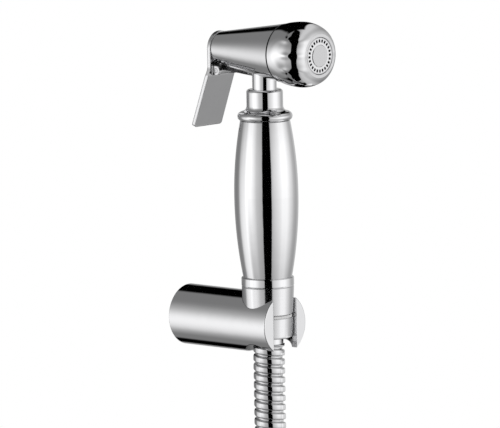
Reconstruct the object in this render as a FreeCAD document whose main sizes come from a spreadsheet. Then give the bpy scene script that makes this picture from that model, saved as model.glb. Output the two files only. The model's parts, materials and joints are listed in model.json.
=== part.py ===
import FreeCAD, Part
import math
import os
import re

import Sketcher

# Hand-held trigger spray in its wall holder, with its metal hose.
# Millimetres, +Z up, +Y into the wall. The origin is the centre of the arm where it meets the wall.
# The handset stands on the vertical axis x = 0, y = -arm_reach.

SIZES = {
    # wall holder
    "arm_radius": 13.5,
    "arm_reach": 48.0,
    "arm_nose": 10.0,
    "arm_edge": 0.5,
    "slot_width": 15.1,
    "socket_radius": 10.0,
    "socket_depth": 24.0,
    "boss_length": 8.0,
    "boss_groove_depth": 0.8,
    "boss_groove_half_width": 2.1,
    "wall_screw_radius": 2.75,
    "countersink_radius": 5.0,
    "set_screw_radius": 2.0,
    "set_screw_offset": 4.0,
    "set_screw_key": 1.0,
    # tapered nut and its swivel sleeve, which together fill the seat
    "cone_radius": 11.6,
    "cone_slope": 0.05,
    "cone_top": 16.6,
    "cone_foot": 6.4,
    "cone_edge": 0.9,
    "sleeve_top": 2.8,
    "swivel_ring_height": 1.2,
    "swivel_ring_inset": 0.35,
    "swivel_gap": 0.2,
    "groove_edge": 0.3,
    "nut_floor": 2.0,
    "stem_flange_radius": 7.0,
    "stem_flange_height": 1.0,
    "stem_radius": 5.5,
    "water_radius": 3.2,
    "stem_foot": 4.4,
    "sleeve_bearing_foot": 2.4,
    "clip_height": 0.75,
    "clip_rise": 2.85,
    "clip_radius": 6.3,
    "clip_groove_radius": 4.9,
    "clip_gap": 4.0,
    "swivel_seal_height": -0.2,
    "seal_section": 0.52,
    "hose_washer_height": 2.0,
    "hose_washer_hole": 4.2,
    "thread_radius": 10.4,
    # handle
    "ring_height": 4.1,
    "ring_edge": 0.5,
    "ring_proud": 0.05,
    "handle_length": 69.6,
    "handle_foot_radius": 10.8,
    "handle_belly_radius": 14.2,
    "handle_top_radius": 11.05,
    "handle_belly_share": 0.52,
    "handle_wall": 1.7,
    "spigot_radius": 9.1,
    "spigot_length": 4.0,
    "tube_radius": 5.0,
    "tube_wall": 1.5,
    "tube_foot": 12.0,
    "tube_short": 1.0,
    "bead_radius": 12.2,
    "bead_height": 3.9,
    "cove_height": 2.7,
    "collar_radius": 8.1,
    "collar_height": 7.3,
    "collar_round": 1.3,
    # head
    "neck_radius": 5.4,
    "neck_rise": 16.7,
    "neck_spigot": 6.0,
    "neck_passage": 3.2,
    "rear_reach": 25.2,
    "rear_radius": 7.4,
    "barrel_taper": 0.147,
    "seam_reach": 13.3,
    "face_reach": 33.5,
    "bell_rise": 1.4,
    "nose_round": 17.0,
    "nose_corner": 6.5,
    "nose_turn": 66.0,
    "nose_edge": 24.0,
    "seam_groove": 0.25,
    "keel_width": 9.0,
    "keel_front": 2.0,
    "keel_root": 1.5,
    "keel_front_drop": 11.6,
    "keel_edge": 3.4,
    "recess_radius": 5.8,
    "recess_depth": 6.2,
    "gland_radius": 5.25,
    "gland_length": 3.9,
    "gland_key": 6.0,
    "gland_key_depth": 1.6,
    "stem_seal_section": 0.65,
    "stem_wall": 2.0,
    "chamber_radius": 7.0,
    "front_bore_radius": 9.0,
    "gasket_height": 0.8,
    "seat_height": 2.6,
    "seat_hole": 3.5,
    "seat_lip": 0.8,
    "seat_lip_rise": 1.6,
    "cap_thread_radius": 8.95,
    "cap_thread_length": 3.9,
    "cap_bore": 7.4,
    "cap_seal_section": 0.55,
    "cap_cavity": 10.0,
    "cap_front_wall": 4.0,
    "plate_radius": 8.15,
    "plate_gap": 0.2,
    "plate_flange": 9.9,
    "plate_flange_height": 1.2,
    "plate_sink": 0.15,
    "slot_inner": 6.0,
    "slot_outer": 7.3,
    "slot_thickness": 0.95,
    "slot_count": 24,
    "disc_radius": 4.95,
    "disc_rise": 0.25,
    "diffuser_wall": 1.3,
    "diffuser_rim": 1.4,
    "diffuser_hole": 1.1,
    "diffuser_hole_circle": 5.6,
    "diffuser_holes": 6,
    # valve
    "rod_radius": 2.0,
    "ball_radius": 1.9,
    "ball_neck_radius": 1.1,
    "rod_start": 5.4,
    "poppet_radius": 5.6,
    "poppet_height": 2.6,
    "poppet_collar_radius": 5.2,
    "poppet_collar_height": 1.6,
    "poppet_thread_radius": 1.5,
    "poppet_nut_flat": 2.3,
    "poppet_nut_height": 1.8,
    "spring_wire": 0.45,
    "spring_radius": 4.0,
    "spring_turns": 6,
    # lever
    "lever_thickness": 1.8,
    "lever_gap": 0.2,
    "lever_top_radius": 7.6,
    "lever_bend_radius": 10.0,
    "lever_bend_drop": 8.3,
    "lever_angle": 20.5,
    "lever_paddle_length": 24.4,
    "lever_shoulder_half": 8.6,
    "lever_shoulder_drop": 3.5,
    "lever_foot_half": 8.85,
    "lever_corner": 1.2,
    "pin_inset": 1.8,
    "pin_drop": 9.5,
    "pin_radius": 0.9,
    "lug_radius": 1.7,
    "ear_radius": 2.1,
    "ear_thickness": 1.6,
    "ear_gap": 0.2,
    "yoke_half_width": 3.2,
    "yoke_half_height": 3.4,
    "yoke_lip": 1.0,
    "yoke_slot_half": 1.3,
    # hose
    "hose_radius": 7.0,
    "hose_bore": 4.0,
    "hose_ferrule_radius": 6.5,
    "hose_ferrule_show": 3.0,
    "hose_ferrule_grip": 1.2,
    "coil_radius": 74.0,
    "coil_pitch": 15.0,
    "coil_turns": 2.1667,
    "coil_centre_x": 10.15,
    "coil_centre_drop": 176.7,
    "coil_corner": 4.0,
    "tail_length": 65.0,
    "tie_thickness": 1.2,
    "tie_width": 8.0,
    "tie_angle": 35.0,
    "tail_ferrule_show": 5.0,
    "tail_flange_radius": 8.8,
    "tail_flange_height": 1.2,
    "tail_nut_flat": 12.0,
    "tail_nut_height": 14.5,
    "tail_nut_roof": 2.5,
    "tail_nut_chamber": 9.0,
    "tail_thread_radius": 9.32,
    "tail_washer_height": 2.0,
    "tail_washer_hole": 4.5,
    # clearances
    "seat_gap": 0.05,
    "fit_gap": 0.02,
    "run_gap": 0.06,
    "loose_gap": 0.3,
    "overcut": 1.0,
}

HOSE_ROUTE = [  # (x, z) of the stretch between the ferrule and the coil, in the plane y = -arm_reach
    (0.0, -9.4),
    (0.0, -60.0),
    (29.8, -102.6),
    (61.0, -120.6),
]

doc = FreeCAD.newDocument("sprayer")
dims = doc.addObject("Spreadsheet::Sheet", "dims")
for row, (name, value) in enumerate(SIZES.items(), start=1):
    dims.set(f"A{row}", name)
    dims.set(f"B{row}", str(value))
    dims.setAlias(f"B{row}", name)
doc.recompute()

FUNCTIONS = ("sqrt", "sin", "cos", "tan")
PARTS = []


def bound(expression):
    """An expression on size names, with each name read from the sheet."""
    def from_sheet(word):
        return word.group() if word.group() in FUNCTIONS else "dims." + word.group()
    return re.sub(r"[a-z][a-z_]*", from_sheet, expression)


def number(expression):
    """The value of an expression on size names."""
    return float(doc.getObject("dims").evalExpression(expression))


# Heights on the handset's axis, each built on the one below.
NUT_BOTTOM = "(sleeve_top + swivel_ring_height + swivel_gap)"
NUT_FLOOR = f"({NUT_BOTTOM} + nut_floor)"
NIPPLE_FOOT = f"({NUT_FLOOR} + hose_washer_height)"
HANDLE_FOOT = "(cone_top + ring_height)"
HANDLE_TOP = f"({HANDLE_FOOT} + handle_length)"
COVE_FOOT = f"({HANDLE_TOP} + bead_height)"
COLLAR_FOOT = f"({COVE_FOOT} + cove_height)"
COLLAR_TOP = f"({COLLAR_FOOT} + collar_height)"
HEAD_AXIS = f"({COLLAR_TOP} + neck_rise)"

HANDSET = ("0", "-arm_reach", "0")
HEAD = ("0", "-arm_reach", HEAD_AXIS)
TAIL = ("coil_centre_x + coil_radius", "-arm_reach - coil_pitch * coil_turns",
        "-coil_centre_drop - tail_length")


def cone_at(height):
    """Outer radius of the tapered nut at a height."""
    return f"(cone_radius - (cone_top - {height}) * cone_slope)"


def barrel_at(along):
    """Outer radius of the head's barrel, along its axis from the neck, rear positive."""
    return f"(rear_radius + (rear_reach - {along}) * barrel_taper)"


def new_piece(label, origin=("0", "0", "0"), kind="PartDesign::Body"):
    """A named sub-part placed at an origin that the sheet drives."""
    piece = doc.addObject(kind, label)
    piece.Label = label
    for axis, place in zip("xyz", origin):
        if place != "0":
            piece.setExpression(f"Placement.Base.{axis}", bound(place))
    PARTS.append(piece)
    return piece


def new_sketch(body, plane, offset="0"):
    """An empty sketch on one of the body's own planes, moved along the plane's normal."""
    sketch = body.newObject("Sketcher::SketchObject", body.Label + "_sketch")
    support = [feature for feature in body.Origin.OriginFeatures if feature.Role == plane][0]
    sketch.AttachmentSupport = [(support, "")]
    sketch.MapMode = "FlatFace"
    if offset != "0":
        sketch.setExpression("AttachmentOffset.Base.z", bound(offset))
    return sketch


def pin_down(sketch, geometry, corner, across, up):
    """Hold one point of a sketch at coordinates that the sheet drives."""
    for kind, expression, axis_line in (("DistanceX", across, -2), ("DistanceY", up, -1)):
        if expression == "0":
            sketch.addConstraint(Sketcher.Constraint("PointOnObject", geometry, corner, axis_line))
        else:
            held = Sketcher.Constraint(kind, -1, 1, geometry, corner, number(expression))
            sketch.setExpression(f"Constraints[{sketch.addConstraint(held)}]", bound(expression))


def arc_through(start, end, radius, side):
    """Arc from start to end, turning left (side 1) or right (side -1)."""
    chord = end - start
    half = chord.Length / 2
    reach = math.sqrt(max(radius ** 2 - half ** 2, 0.0))
    left = FreeCAD.Vector(-chord.y, chord.x, 0).normalize()
    centre = (start + end) / 2 + left * reach * side
    first, last = (start, end) if side > 0 else (end, start)
    angles = [math.atan2(point.y - centre.y, point.x - centre.x) for point in (first, last)]
    if angles[1] < angles[0]:
        angles[1] += 2 * math.pi
    return Part.ArcOfCircle(Part.Circle(centre, FreeCAD.Vector(0, 0, 1), radius), *angles)


def add_outline(sketch, corners):
    """Closed outline. A corner is (across, up), or (across, up, radius, side) where an arc ends at it."""
    points = [FreeCAD.Vector(number(corner[0]), number(corner[1]), 0) for corner in corners]
    ends = []
    for index, corner in enumerate(corners):
        start, end = points[index - 1], points[index]
        if len(corner) == 2:
            edge = sketch.addGeometry(Part.LineSegment(start, end), False)
            ends.append((edge, 1, 2))
            continue
        radius, side = corner[2], corner[3]
        edge = sketch.addGeometry(arc_through(start, end, number(radius), side), False)
        ends.append((edge, 1, 2) if side > 0 else (edge, 2, 1))
        held = sketch.addConstraint(Sketcher.Constraint("Radius", edge, number(radius)))
        sketch.setExpression(f"Constraints[{held}]", bound(radius))
    for index, corner in enumerate(corners):
        edge, _, finish = ends[index]
        after, begin, _ = ends[(index + 1) % len(ends)]
        sketch.addConstraint(Sketcher.Constraint("Coincident", edge, finish, after, begin))
        pin_down(sketch, edge, finish, corner[0], corner[1])


def add_circle(sketch, across, up, radius):
    """Circle in a sketch."""
    centre = FreeCAD.Vector(number(across), number(up), 0)
    edge = sketch.addGeometry(Part.Circle(centre, FreeCAD.Vector(0, 0, 1), number(radius)), False)
    pin_down(sketch, edge, 3, across, up)
    held = sketch.addConstraint(Sketcher.Constraint("Radius", edge, number(radius)))
    sketch.setExpression(f"Constraints[{held}]", bound(radius))


def add_hexagon(sketch, flat):
    """Regular hexagon about the origin, by half the distance across its flats."""
    corner = f"({flat} / cos(30))"
    add_outline(sketch, [
        (f"{corner} * cos({angle})", f"{corner} * sin({angle})") if angle % 180 else
        (f"{corner} * cos({angle})", "0")
        for angle in range(0, 360, 60)
    ])


def shape_edges(body, kind, size, wanted):
    """Fillet or chamfer on the edges of a body, as far as it is built, that a test picks."""
    doc.recompute()
    base = body.Tip
    names = [f"Edge{index}" for index, edge in enumerate(base.Shape.Edges, start=1) if wanted(edge)]
    if not names:
        raise RuntimeError(f"{body.Label} has no edge for its {kind}")
    feature = body.newObject(f"PartDesign::{kind}", body.Label + "_" + kind.lower())
    feature.Base = (base, names)
    feature.setExpression("Radius" if kind == "Fillet" else "Size", bound(size))
    body.Tip = feature
    return feature


def turn(body, corners, lying=False, cut=False):
    """Turned feature: (radius, height) corners about Z, or (along, radius) corners about Y."""
    sketch = new_sketch(body, "YZ_Plane" if lying else "XZ_Plane")
    add_outline(sketch, corners)
    feature = body.newObject("PartDesign::Groove" if cut else "PartDesign::Revolution",
                             body.Label + "_turned")
    feature.Profile = sketch
    feature.ReferenceAxis = (sketch, ["H_Axis" if lying else "V_Axis"])
    feature.Angle = 360.0
    return feature


def pad(body, sketch, length, middle=False, back=False):
    """Pad of a sketch."""
    feature = body.newObject("PartDesign::Pad", body.Label + "_pad")
    feature.Profile = sketch
    feature.setExpression("Length", bound(length))
    feature.SideType = "Symmetric" if middle else "One side"
    feature.Reversed = back
    return feature


def pocket(body, sketch, length, middle=False, back=False):
    """Pocket of a sketch."""
    feature = body.newObject("PartDesign::Pocket", body.Label + "_pocket")
    feature.Profile = sketch
    feature.setExpression("Length", bound(length))
    feature.SideType = "Symmetric" if middle else "One side"
    feature.Reversed = back
    return feature


def turned_piece(label, origin, corners, lying=False):
    """A sub-part that is one turned outline."""
    body = new_piece(label, origin)
    turn(body, corners, lying)
    return body


def ring_piece(label, origin, ring_radius, section, lying=False):
    """A round seal ring: a torus about the handset's axis or the barrel's."""
    ring = new_piece(label, origin, "Part::Torus")
    ring.setExpression("Radius1", bound(ring_radius))
    ring.setExpression("Radius2", bound(section))
    if lying:
        ring.Placement.Rotation = FreeCAD.Rotation(FreeCAD.Vector(1, 0, 0), 90)
    return ring


# ---- wall holder ----

def make_holder_arm():
    """Round arm with the tapered seat, the slot to its front, and the socket at the wall."""
    body = new_piece("holder_arm", HANDSET)
    seat_foot = "(0 - arm_radius - overcut)"
    turn(body, [
        ("arm_reach", "socket_radius"),
        ("arm_reach", "arm_radius"),
        ("arm_edge - arm_nose", "arm_radius"),
        ("0 - arm_nose", "arm_radius - arm_edge", "arm_edge", 1),
        ("0 - arm_nose", "0"),
        ("arm_reach - socket_depth", "0"),
        ("arm_reach - socket_depth", "socket_radius"),
    ], lying=True)
    turn(body, [
        ("0", seat_foot),
        (cone_at(seat_foot) + " + seat_gap", seat_foot),
        (cone_at("cone_top") + " + seat_gap", "cone_top"),
        ("0", "cone_top"),
    ], cut=True)
    slot = new_sketch(body, "XY_Plane", "0 - arm_radius - overcut")
    add_outline(slot, [
        ("slot_width / 2", "0"),
        ("slot_width / 2", "0 - arm_nose - overcut"),
        ("0 - slot_width / 2", "0 - arm_nose - overcut"),
        ("0 - slot_width / 2", "0"),
    ])
    pocket(body, slot, "2 * arm_radius + 2 * overcut", back=True)
    screw_hole = new_sketch(body, "XY_Plane", "0 - arm_radius - overcut")
    add_circle(screw_hole, "0", "arm_reach - set_screw_offset", "set_screw_radius + fit_gap")
    pocket(body, screw_hole, "arm_radius - socket_radius + 2 * overcut", back=True)
    return body


def make_wall_boss():
    """Disc screwed to the wall, with a groove where the grub screw bites."""
    radius = "socket_radius - run_gap"
    groove = "(set_screw_offset - boss_groove_half_width)"
    body = turned_piece("wall_boss", ("0", "0", "0"), [
        ("0", "wall_screw_radius"),
        ("0", radius),
        (f"0 - {groove}", radius),
        (f"0 - {groove}", radius + " - boss_groove_depth"),
        (f"0 - {groove} - 2 * boss_groove_half_width", radius + " - boss_groove_depth"),
        (f"0 - {groove} - 2 * boss_groove_half_width", radius),
        ("0 - boss_length", radius),
        ("0 - boss_length", "countersink_radius"),
        ("0 - boss_length + countersink_radius - wall_screw_radius", "wall_screw_radius"),
    ], lying=True)
    return body


def make_set_screw():
    """Grub screw with a hexagon socket, standing in the arm's underside."""
    tip = "(socket_radius - run_gap - boss_groove_depth + fit_gap)"
    body = new_piece("set_screw", ("0", "-set_screw_offset", "0"))
    turn(body, [
        ("0", "0 - arm_radius + loose_gap"),
        ("set_screw_radius", "0 - arm_radius + loose_gap"),
        ("set_screw_radius", f"0 - {tip} - set_screw_radius / 2"),
        ("set_screw_radius / 2", f"0 - {tip}"),
        ("0", f"0 - {tip}"),
    ])
    key = new_sketch(body, "XY_Plane", "0 - arm_radius")
    add_hexagon(key, "set_screw_key")
    pocket(body, key, "set_screw_radius", back=True)
    return body


# ---- hose end in the seat ----

def make_swivel_sleeve():
    """Lower half of the cone, which turns on the stem and carries the hose."""
    return turned_piece("hose_swivel_sleeve", HANDSET, [
        ("stem_radius + run_gap", "0 - sleeve_bearing_foot"),
        ("stem_radius + run_gap", "sleeve_top"),
        (cone_at("sleeve_top") + " - groove_edge", "sleeve_top"),
        (cone_at("sleeve_top") + " - cone_slope * groove_edge", "sleeve_top - groove_edge"),
        (cone_at("(0 - cone_foot)") + " + cone_slope * cone_edge", "cone_edge - cone_foot"),
        (cone_at("(0 - cone_foot)") + " - cone_edge", "0 - cone_foot", "cone_edge", -1),
        ("hose_ferrule_radius + fit_gap", "0 - cone_foot"),
        ("hose_ferrule_radius + fit_gap", "0 - sleeve_bearing_foot"),
    ])


def make_swivel_ring():
    """Thin bearing ring seen in the groove between the two halves of the cone."""
    return turned_piece("swivel_ring", HANDSET, [
        ("stem_radius + run_gap", "sleeve_top"),
        ("stem_radius + run_gap", "sleeve_top + swivel_ring_height"),
        (cone_at("sleeve_top") + " - swivel_ring_inset", "sleeve_top + swivel_ring_height"),
        (cone_at("sleeve_top") + " - swivel_ring_inset", "sleeve_top"),
    ])


def make_hose_ferrule():
    """Ferrule crimped on the hose and pressed into the sleeve."""
    foot = "(0 - cone_foot - hose_ferrule_show)"
    return turned_piece("hose_ferrule", HANDSET, [
        ("hose_bore", foot),
        ("hose_bore", "hose_ferrule_grip - cone_foot"),
        ("hose_ferrule_radius", "hose_ferrule_grip - cone_foot"),
        ("hose_ferrule_radius", f"{foot} + groove_edge"),
        ("hose_ferrule_radius - groove_edge", foot, "groove_edge", -1),
    ])


def make_cone_nut():
    """Upper half of the cone: the nut that screws on the handset."""
    return turned_piece("cone_nut", HANDSET, [
        ("stem_radius + fit_gap", NUT_BOTTOM),
        ("stem_radius + fit_gap", f"{NUT_FLOOR} - stem_flange_height"),
        ("stem_flange_radius + fit_gap", f"{NUT_FLOOR} - stem_flange_height"),
        ("stem_flange_radius + fit_gap", NUT_FLOOR),
        ("thread_radius + fit_gap", NUT_FLOOR),
        ("thread_radius + fit_gap", "cone_top"),
        (cone_at("cone_top") + " - groove_edge", "cone_top"),
        (cone_at("cone_top"), "cone_top - groove_edge"),
        (cone_at(NUT_BOTTOM), f"{NUT_BOTTOM} + groove_edge"),
        (cone_at(NUT_BOTTOM) + " - groove_edge", NUT_BOTTOM),
    ])


def make_swivel_stem():
    """Hollow stem held in the nut's floor, on which the sleeve turns."""
    seal_low = "(swivel_seal_height - seal_section - fit_gap)"
    seal_high = "(swivel_seal_height + seal_section + fit_gap)"
    seal_floor = "(stem_radius - 2 * seal_section - fit_gap)"
    clip_low = "(0 - clip_rise - clip_height)"
    return turned_piece("swivel_stem", HANDSET, [
        ("water_radius", "0 - stem_foot"),
        ("water_radius", NUT_FLOOR),
        ("stem_flange_radius", NUT_FLOOR),
        ("stem_flange_radius", f"{NUT_FLOOR} - stem_flange_height"),
        ("stem_radius", f"{NUT_FLOOR} - stem_flange_height"),
        ("stem_radius", seal_high),
        (seal_floor, seal_high),
        (seal_floor, seal_low),
        ("stem_radius", seal_low),
        ("stem_radius", "0 - clip_rise + fit_gap"),
        ("clip_groove_radius", "0 - clip_rise + fit_gap"),
        ("clip_groove_radius", f"{clip_low} - fit_gap"),
        ("stem_radius", f"{clip_low} - fit_gap"),
        ("stem_radius", "0 - stem_foot"),
    ])


def make_swivel_oring():
    """Seal ring between the stem and the sleeve."""
    return ring_piece("swivel_oring", ("0", "-arm_reach", "swivel_seal_height"),
                      "stem_radius - seal_section", "seal_section")


def make_stem_clip():
    """Open spring ring that keeps the sleeve on its stem."""
    clip_low = "(0 - clip_rise - clip_height)"
    body = turned_piece("stem_clip", HANDSET, [
        ("clip_groove_radius + fit_gap", clip_low),
        ("clip_groove_radius + fit_gap", "0 - clip_rise"),
        ("clip_radius", "0 - clip_rise"),
        ("clip_radius", clip_low),
    ])
    mouth = new_sketch(body, "XY_Plane", clip_low + " - overcut")
    add_outline(mouth, [
        ("clip_gap / 2", "0"),
        ("clip_gap / 2", "clip_radius + overcut"),
        ("0 - clip_gap / 2", "clip_radius + overcut"),
        ("0 - clip_gap / 2", "0"),
    ])
    pocket(body, mouth, "clip_height + 2 * overcut", back=True)
    return body


def make_hose_washer():
    """Flat washer between the stem's flange and the handset's nipple."""
    return turned_piece("hose_washer", HANDSET, [
        ("hose_washer_hole", NUT_FLOOR),
        ("hose_washer_hole", NIPPLE_FOOT),
        ("thread_radius - run_gap", NIPPLE_FOOT),
        ("thread_radius - run_gap", NUT_FLOOR),
    ])


# ---- handle ----

def make_handle_base():
    """Polished ring with the threaded nipple below it and the spigot for the shell above it."""
    return turned_piece("handle_base", HANDSET, [
        ("tube_radius - tube_wall", NIPPLE_FOOT),
        ("thread_radius - groove_edge", NIPPLE_FOOT),
        ("thread_radius", f"{NIPPLE_FOOT} + groove_edge"),
        ("thread_radius", "cone_top"),
        ("cone_radius - ring_edge / 2", "cone_top"),
        ("cone_radius + ring_proud", "cone_top + ring_edge"),
        ("cone_radius + ring_proud", f"{HANDLE_FOOT} - ring_edge"),
        ("cone_radius - ring_edge", HANDLE_FOOT, "ring_edge", 1),
        ("spigot_radius", HANDLE_FOOT),
        ("spigot_radius", f"{HANDLE_FOOT} + spigot_length"),
        ("tube_radius + fit_gap", f"{HANDLE_FOOT} + spigot_length"),
        ("tube_radius + fit_gap", "tube_foot"),
        ("tube_radius - tube_wall", "tube_foot"),
    ])


def make_handle_tube():
    """Brass pipe that carries the water through the handle."""
    return turned_piece("handle_tube", HANDSET, [
        ("tube_radius - tube_wall", "tube_foot"),
        ("tube_radius", "tube_foot"),
        ("tube_radius", f"{COLLAR_TOP} - neck_spigot - tube_short"),
        ("tube_radius - tube_wall", f"{COLLAR_TOP} - neck_spigot - tube_short"),
    ])


def make_handle_shell():
    """Hollow bellied grip, spun from tube, slipped between the base and the ferrule."""
    body = new_piece("handle_shell", HANDSET)
    belly = f"({HANDLE_FOOT} + handle_length * handle_belly_share)"
    lower = "(handle_length * handle_belly_share)"
    upper = "(handle_length * (1 - handle_belly_share))"
    bulge_low = "(handle_belly_radius - handle_foot_radius)"
    bulge_high = "(handle_belly_radius - handle_top_radius)"
    inner_low = "(handle_belly_radius - handle_wall - spigot_radius - fit_gap)"
    inner_end = "spigot_radius + fit_gap"
    turn(body, [
        (inner_end, HANDLE_FOOT),
        ("handle_foot_radius", HANDLE_FOOT),
        ("handle_belly_radius", belly, f"({lower}^2 + {bulge_low}^2) / (2 * {bulge_low})", 1),
        ("handle_top_radius", HANDLE_TOP, f"({upper}^2 + {bulge_high}^2) / (2 * {bulge_high})", 1),
        (inner_end, HANDLE_TOP),
        (inner_end, f"{HANDLE_TOP} - spigot_length"),
        ("handle_belly_radius - handle_wall", belly,
         f"(({upper} - spigot_length)^2 + {inner_low}^2) / (2 * {inner_low})", -1),
        (inner_end, f"{HANDLE_FOOT} + spigot_length",
         f"(({lower} - spigot_length)^2 + {inner_low}^2) / (2 * {inner_low})", -1),
    ])
    return body


def make_handle_ferrule():
    """Ferrule over the grip: bead, cove and collar, with the socket for the neck."""
    bead_middle = f"({HANDLE_TOP} + bead_height / 2)"
    bead_inset = "(bead_radius - bead_height / 2)"
    socket_floor = f"({COLLAR_TOP} - neck_spigot - fit_gap)"
    return turned_piece("handle_ferrule", HANDSET, [
        ("tube_radius + fit_gap", f"{HANDLE_TOP} - spigot_length"),
        ("spigot_radius", f"{HANDLE_TOP} - spigot_length"),
        ("spigot_radius", HANDLE_TOP),
        (bead_inset, HANDLE_TOP),
        ("bead_radius", bead_middle, "bead_height / 2", 1),
        (bead_inset, COVE_FOOT, "bead_height / 2", 1),
        ("collar_radius + cove_height", COVE_FOOT),
        ("collar_radius", COLLAR_FOOT, "cove_height", -1),
        ("collar_radius", f"{COLLAR_TOP} - collar_round"),
        ("collar_radius - collar_round", COLLAR_TOP, "collar_round", 1),
        ("neck_radius + fit_gap", COLLAR_TOP),
        ("neck_radius + fit_gap", socket_floor),
        ("tube_radius + fit_gap", socket_floor),
    ])


def make_neck_oring():
    """Seal ring in the neck's groove, inside the collar."""
    return ring_piece("neck_oring", ("0", "-arm_reach", f"{COLLAR_TOP} - neck_spigot / 2"),
                      "neck_radius - seal_section", "seal_section")


# ---- head ----

def inboard(depth):
    """A place on the barrel's axis, by its depth from the rear face."""
    return f"(rear_reach - {depth})"


GLAND_START = "(recess_depth + loose_gap)"
GLAND_END = f"({GLAND_START} + gland_length)"
SEAL_END = f"({GLAND_END} + 4 * stem_seal_section + 2 * fit_gap)"
CHAMBER_START = f"({SEAL_END} + stem_wall)"
FACE = "(rear_reach + face_reach)"
SEAT_END = "(rear_reach + seam_reach - cap_thread_length - fit_gap)"
SEAT_START = f"({SEAT_END} - seat_height)"
CHAMBER_END = f"({SEAT_START} - gasket_height)"
POPPET_FACE = f"({SEAT_START} - seat_lip_rise)"
POPPET_START = f"({POPPET_FACE} - poppet_height)"
PLATE_BACK = f"({FACE} - cap_front_wall)"


def make_head_body():
    """Tapered barrel, keel, hinge lug and neck in one casting, bored for the valve."""
    body = new_piece("head_body", HEAD)
    pin_along = "(rear_reach - pin_inset)"
    keel = new_sketch(body, "YZ_Plane")
    add_outline(keel, [
        (pin_along + " + lug_radius", "0 - rear_radius + keel_root"),
        (pin_along + " + lug_radius", "0 - pin_drop"),
        ("keel_front", "0 - keel_front_drop"),
        ("keel_front", "0 - rear_radius + keel_root"),
    ])
    pad(body, keel, "keel_width", middle=True)
    keel_half = number("keel_width / 2")
    shape_edges(body, "Chamfer", "keel_edge", lambda edge: (
        abs(edge.CenterOfMass.x) > 0.9 * keel_half and edge.BoundBox.XLength < 0.01 * keel_half
        and edge.BoundBox.YLength > 0.9 * number("rear_reach - keel_front")
        and edge.BoundBox.ZMax < number("0 - rear_radius")))
    lug = new_sketch(body, "YZ_Plane")
    add_outline(lug, [
        (pin_along + " + lug_radius", "0 - rear_radius + keel_root"),
        (pin_along + " + lug_radius", "0 - pin_drop"),
        (pin_along, "0 - pin_drop - lug_radius", "lug_radius", -1),
        (pin_along + " - lug_radius", "0 - pin_drop", "lug_radius", -1),
        (pin_along + " - lug_radius", "0 - rear_radius + keel_root"),
    ])
    pad(body, lug, "keel_width", middle=True)
    turn(body, [
        ("rear_reach", "0"),
        ("rear_reach", "rear_radius - groove_edge"),
        ("rear_reach - groove_edge", "rear_radius", "groove_edge", 1),
        ("seam_groove - seam_reach", barrel_at("(0 - seam_reach)")),
        ("0 - seam_reach", barrel_at("(0 - seam_reach)") + " - seam_groove"),
        ("0 - seam_reach", "0"),
    ], lying=True)
    seal_height = "(0 - neck_rise - neck_spigot / 2)"
    seal_seat = "cap_thread_radius + 2 * cap_seal_section + run_gap"
    turn(body, [
        ("0", "0 - chamber_radius - overcut"),
        ("neck_radius", "0 - chamber_radius - overcut"),
        ("neck_radius", f"{seal_height} + seal_section + fit_gap"),
        ("neck_radius - 2 * seal_section - fit_gap", f"{seal_height} + seal_section + fit_gap"),
        ("neck_radius - 2 * seal_section - fit_gap", f"{seal_height} - seal_section - fit_gap"),
        ("neck_radius", f"{seal_height} - seal_section - fit_gap"),
        ("neck_radius", "0 - neck_rise - neck_spigot"),
        ("0", "0 - neck_rise - neck_spigot"),
    ])
    turn(body, [
        ("rear_reach + overcut", "0"),
        ("rear_reach + overcut", "recess_radius"),
        (inboard("recess_depth"), "recess_radius"),
        (inboard("recess_depth"), "gland_radius + fit_gap"),
        (inboard(GLAND_END), "gland_radius + fit_gap"),
        (inboard(GLAND_END), "rod_radius + run_gap + 2 * stem_seal_section"),
        (inboard(SEAL_END), "rod_radius + run_gap + 2 * stem_seal_section"),
        (inboard(SEAL_END), "rod_radius + run_gap"),
        (inboard(CHAMBER_START), "rod_radius + run_gap"),
        (inboard(CHAMBER_START), "chamber_radius"),
        (inboard(CHAMBER_END), "chamber_radius"),
        (inboard(CHAMBER_END), "front_bore_radius"),
        ("2 * cap_seal_section + fit_gap - seam_reach", "front_bore_radius"),
        ("2 * cap_seal_section + fit_gap - seam_reach", seal_seat),
        ("0 - seam_reach - overcut", seal_seat),
        ("0 - seam_reach - overcut", "0"),
    ], lying=True, cut=True)
    turn(body, [
        ("0", "0"),
        ("neck_passage", "0"),
        ("neck_passage", "0 - neck_rise - neck_spigot - overcut"),
        ("0", "0 - neck_rise - neck_spigot - overcut"),
    ], cut=True)
    pin_hole = new_sketch(body, "YZ_Plane")
    add_circle(pin_hole, pin_along, "0 - pin_drop", "pin_radius + fit_gap")
    pocket(body, pin_hole, "keel_width + 2 * overcut", middle=True)
    return body


def make_hinge_pin():
    """Lever's pin, held in the lug, with the lever's ears turning on its ends."""
    pin = new_piece("hinge_pin", ("0 - keel_width / 2 - ear_gap - ear_thickness",
                                  "0 - arm_reach + rear_reach - pin_inset", f"{HEAD_AXIS} - pin_drop"),
                    "Part::Cylinder")
    pin.setExpression("Radius", bound("pin_radius"))
    pin.setExpression("Height", bound("keel_width + 2 * ear_gap + 2 * ear_thickness"))
    pin.Placement.Rotation = FreeCAD.Rotation(FreeCAD.Vector(0, 1, 0), 90)
    return pin


def make_gland_nut():
    """Screwed gland that holds the stem's seals, with a hexagon socket."""
    body = new_piece("gland_nut", HEAD)
    turn(body, [
        (inboard(GLAND_START), "rod_radius + run_gap"),
        (inboard(GLAND_START), "gland_radius - groove_edge"),
        (inboard(GLAND_START) + " - groove_edge", "gland_radius"),
        (inboard(GLAND_END), "gland_radius"),
        (inboard(GLAND_END), "rod_radius + run_gap"),
    ], lying=True)
    key = new_sketch(body, "XZ_Plane", "0 - rear_reach")
    add_hexagon(key, "gland_key / 2")
    pocket(body, key, f"{GLAND_START} + gland_key_depth", back=True)
    return body


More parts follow.
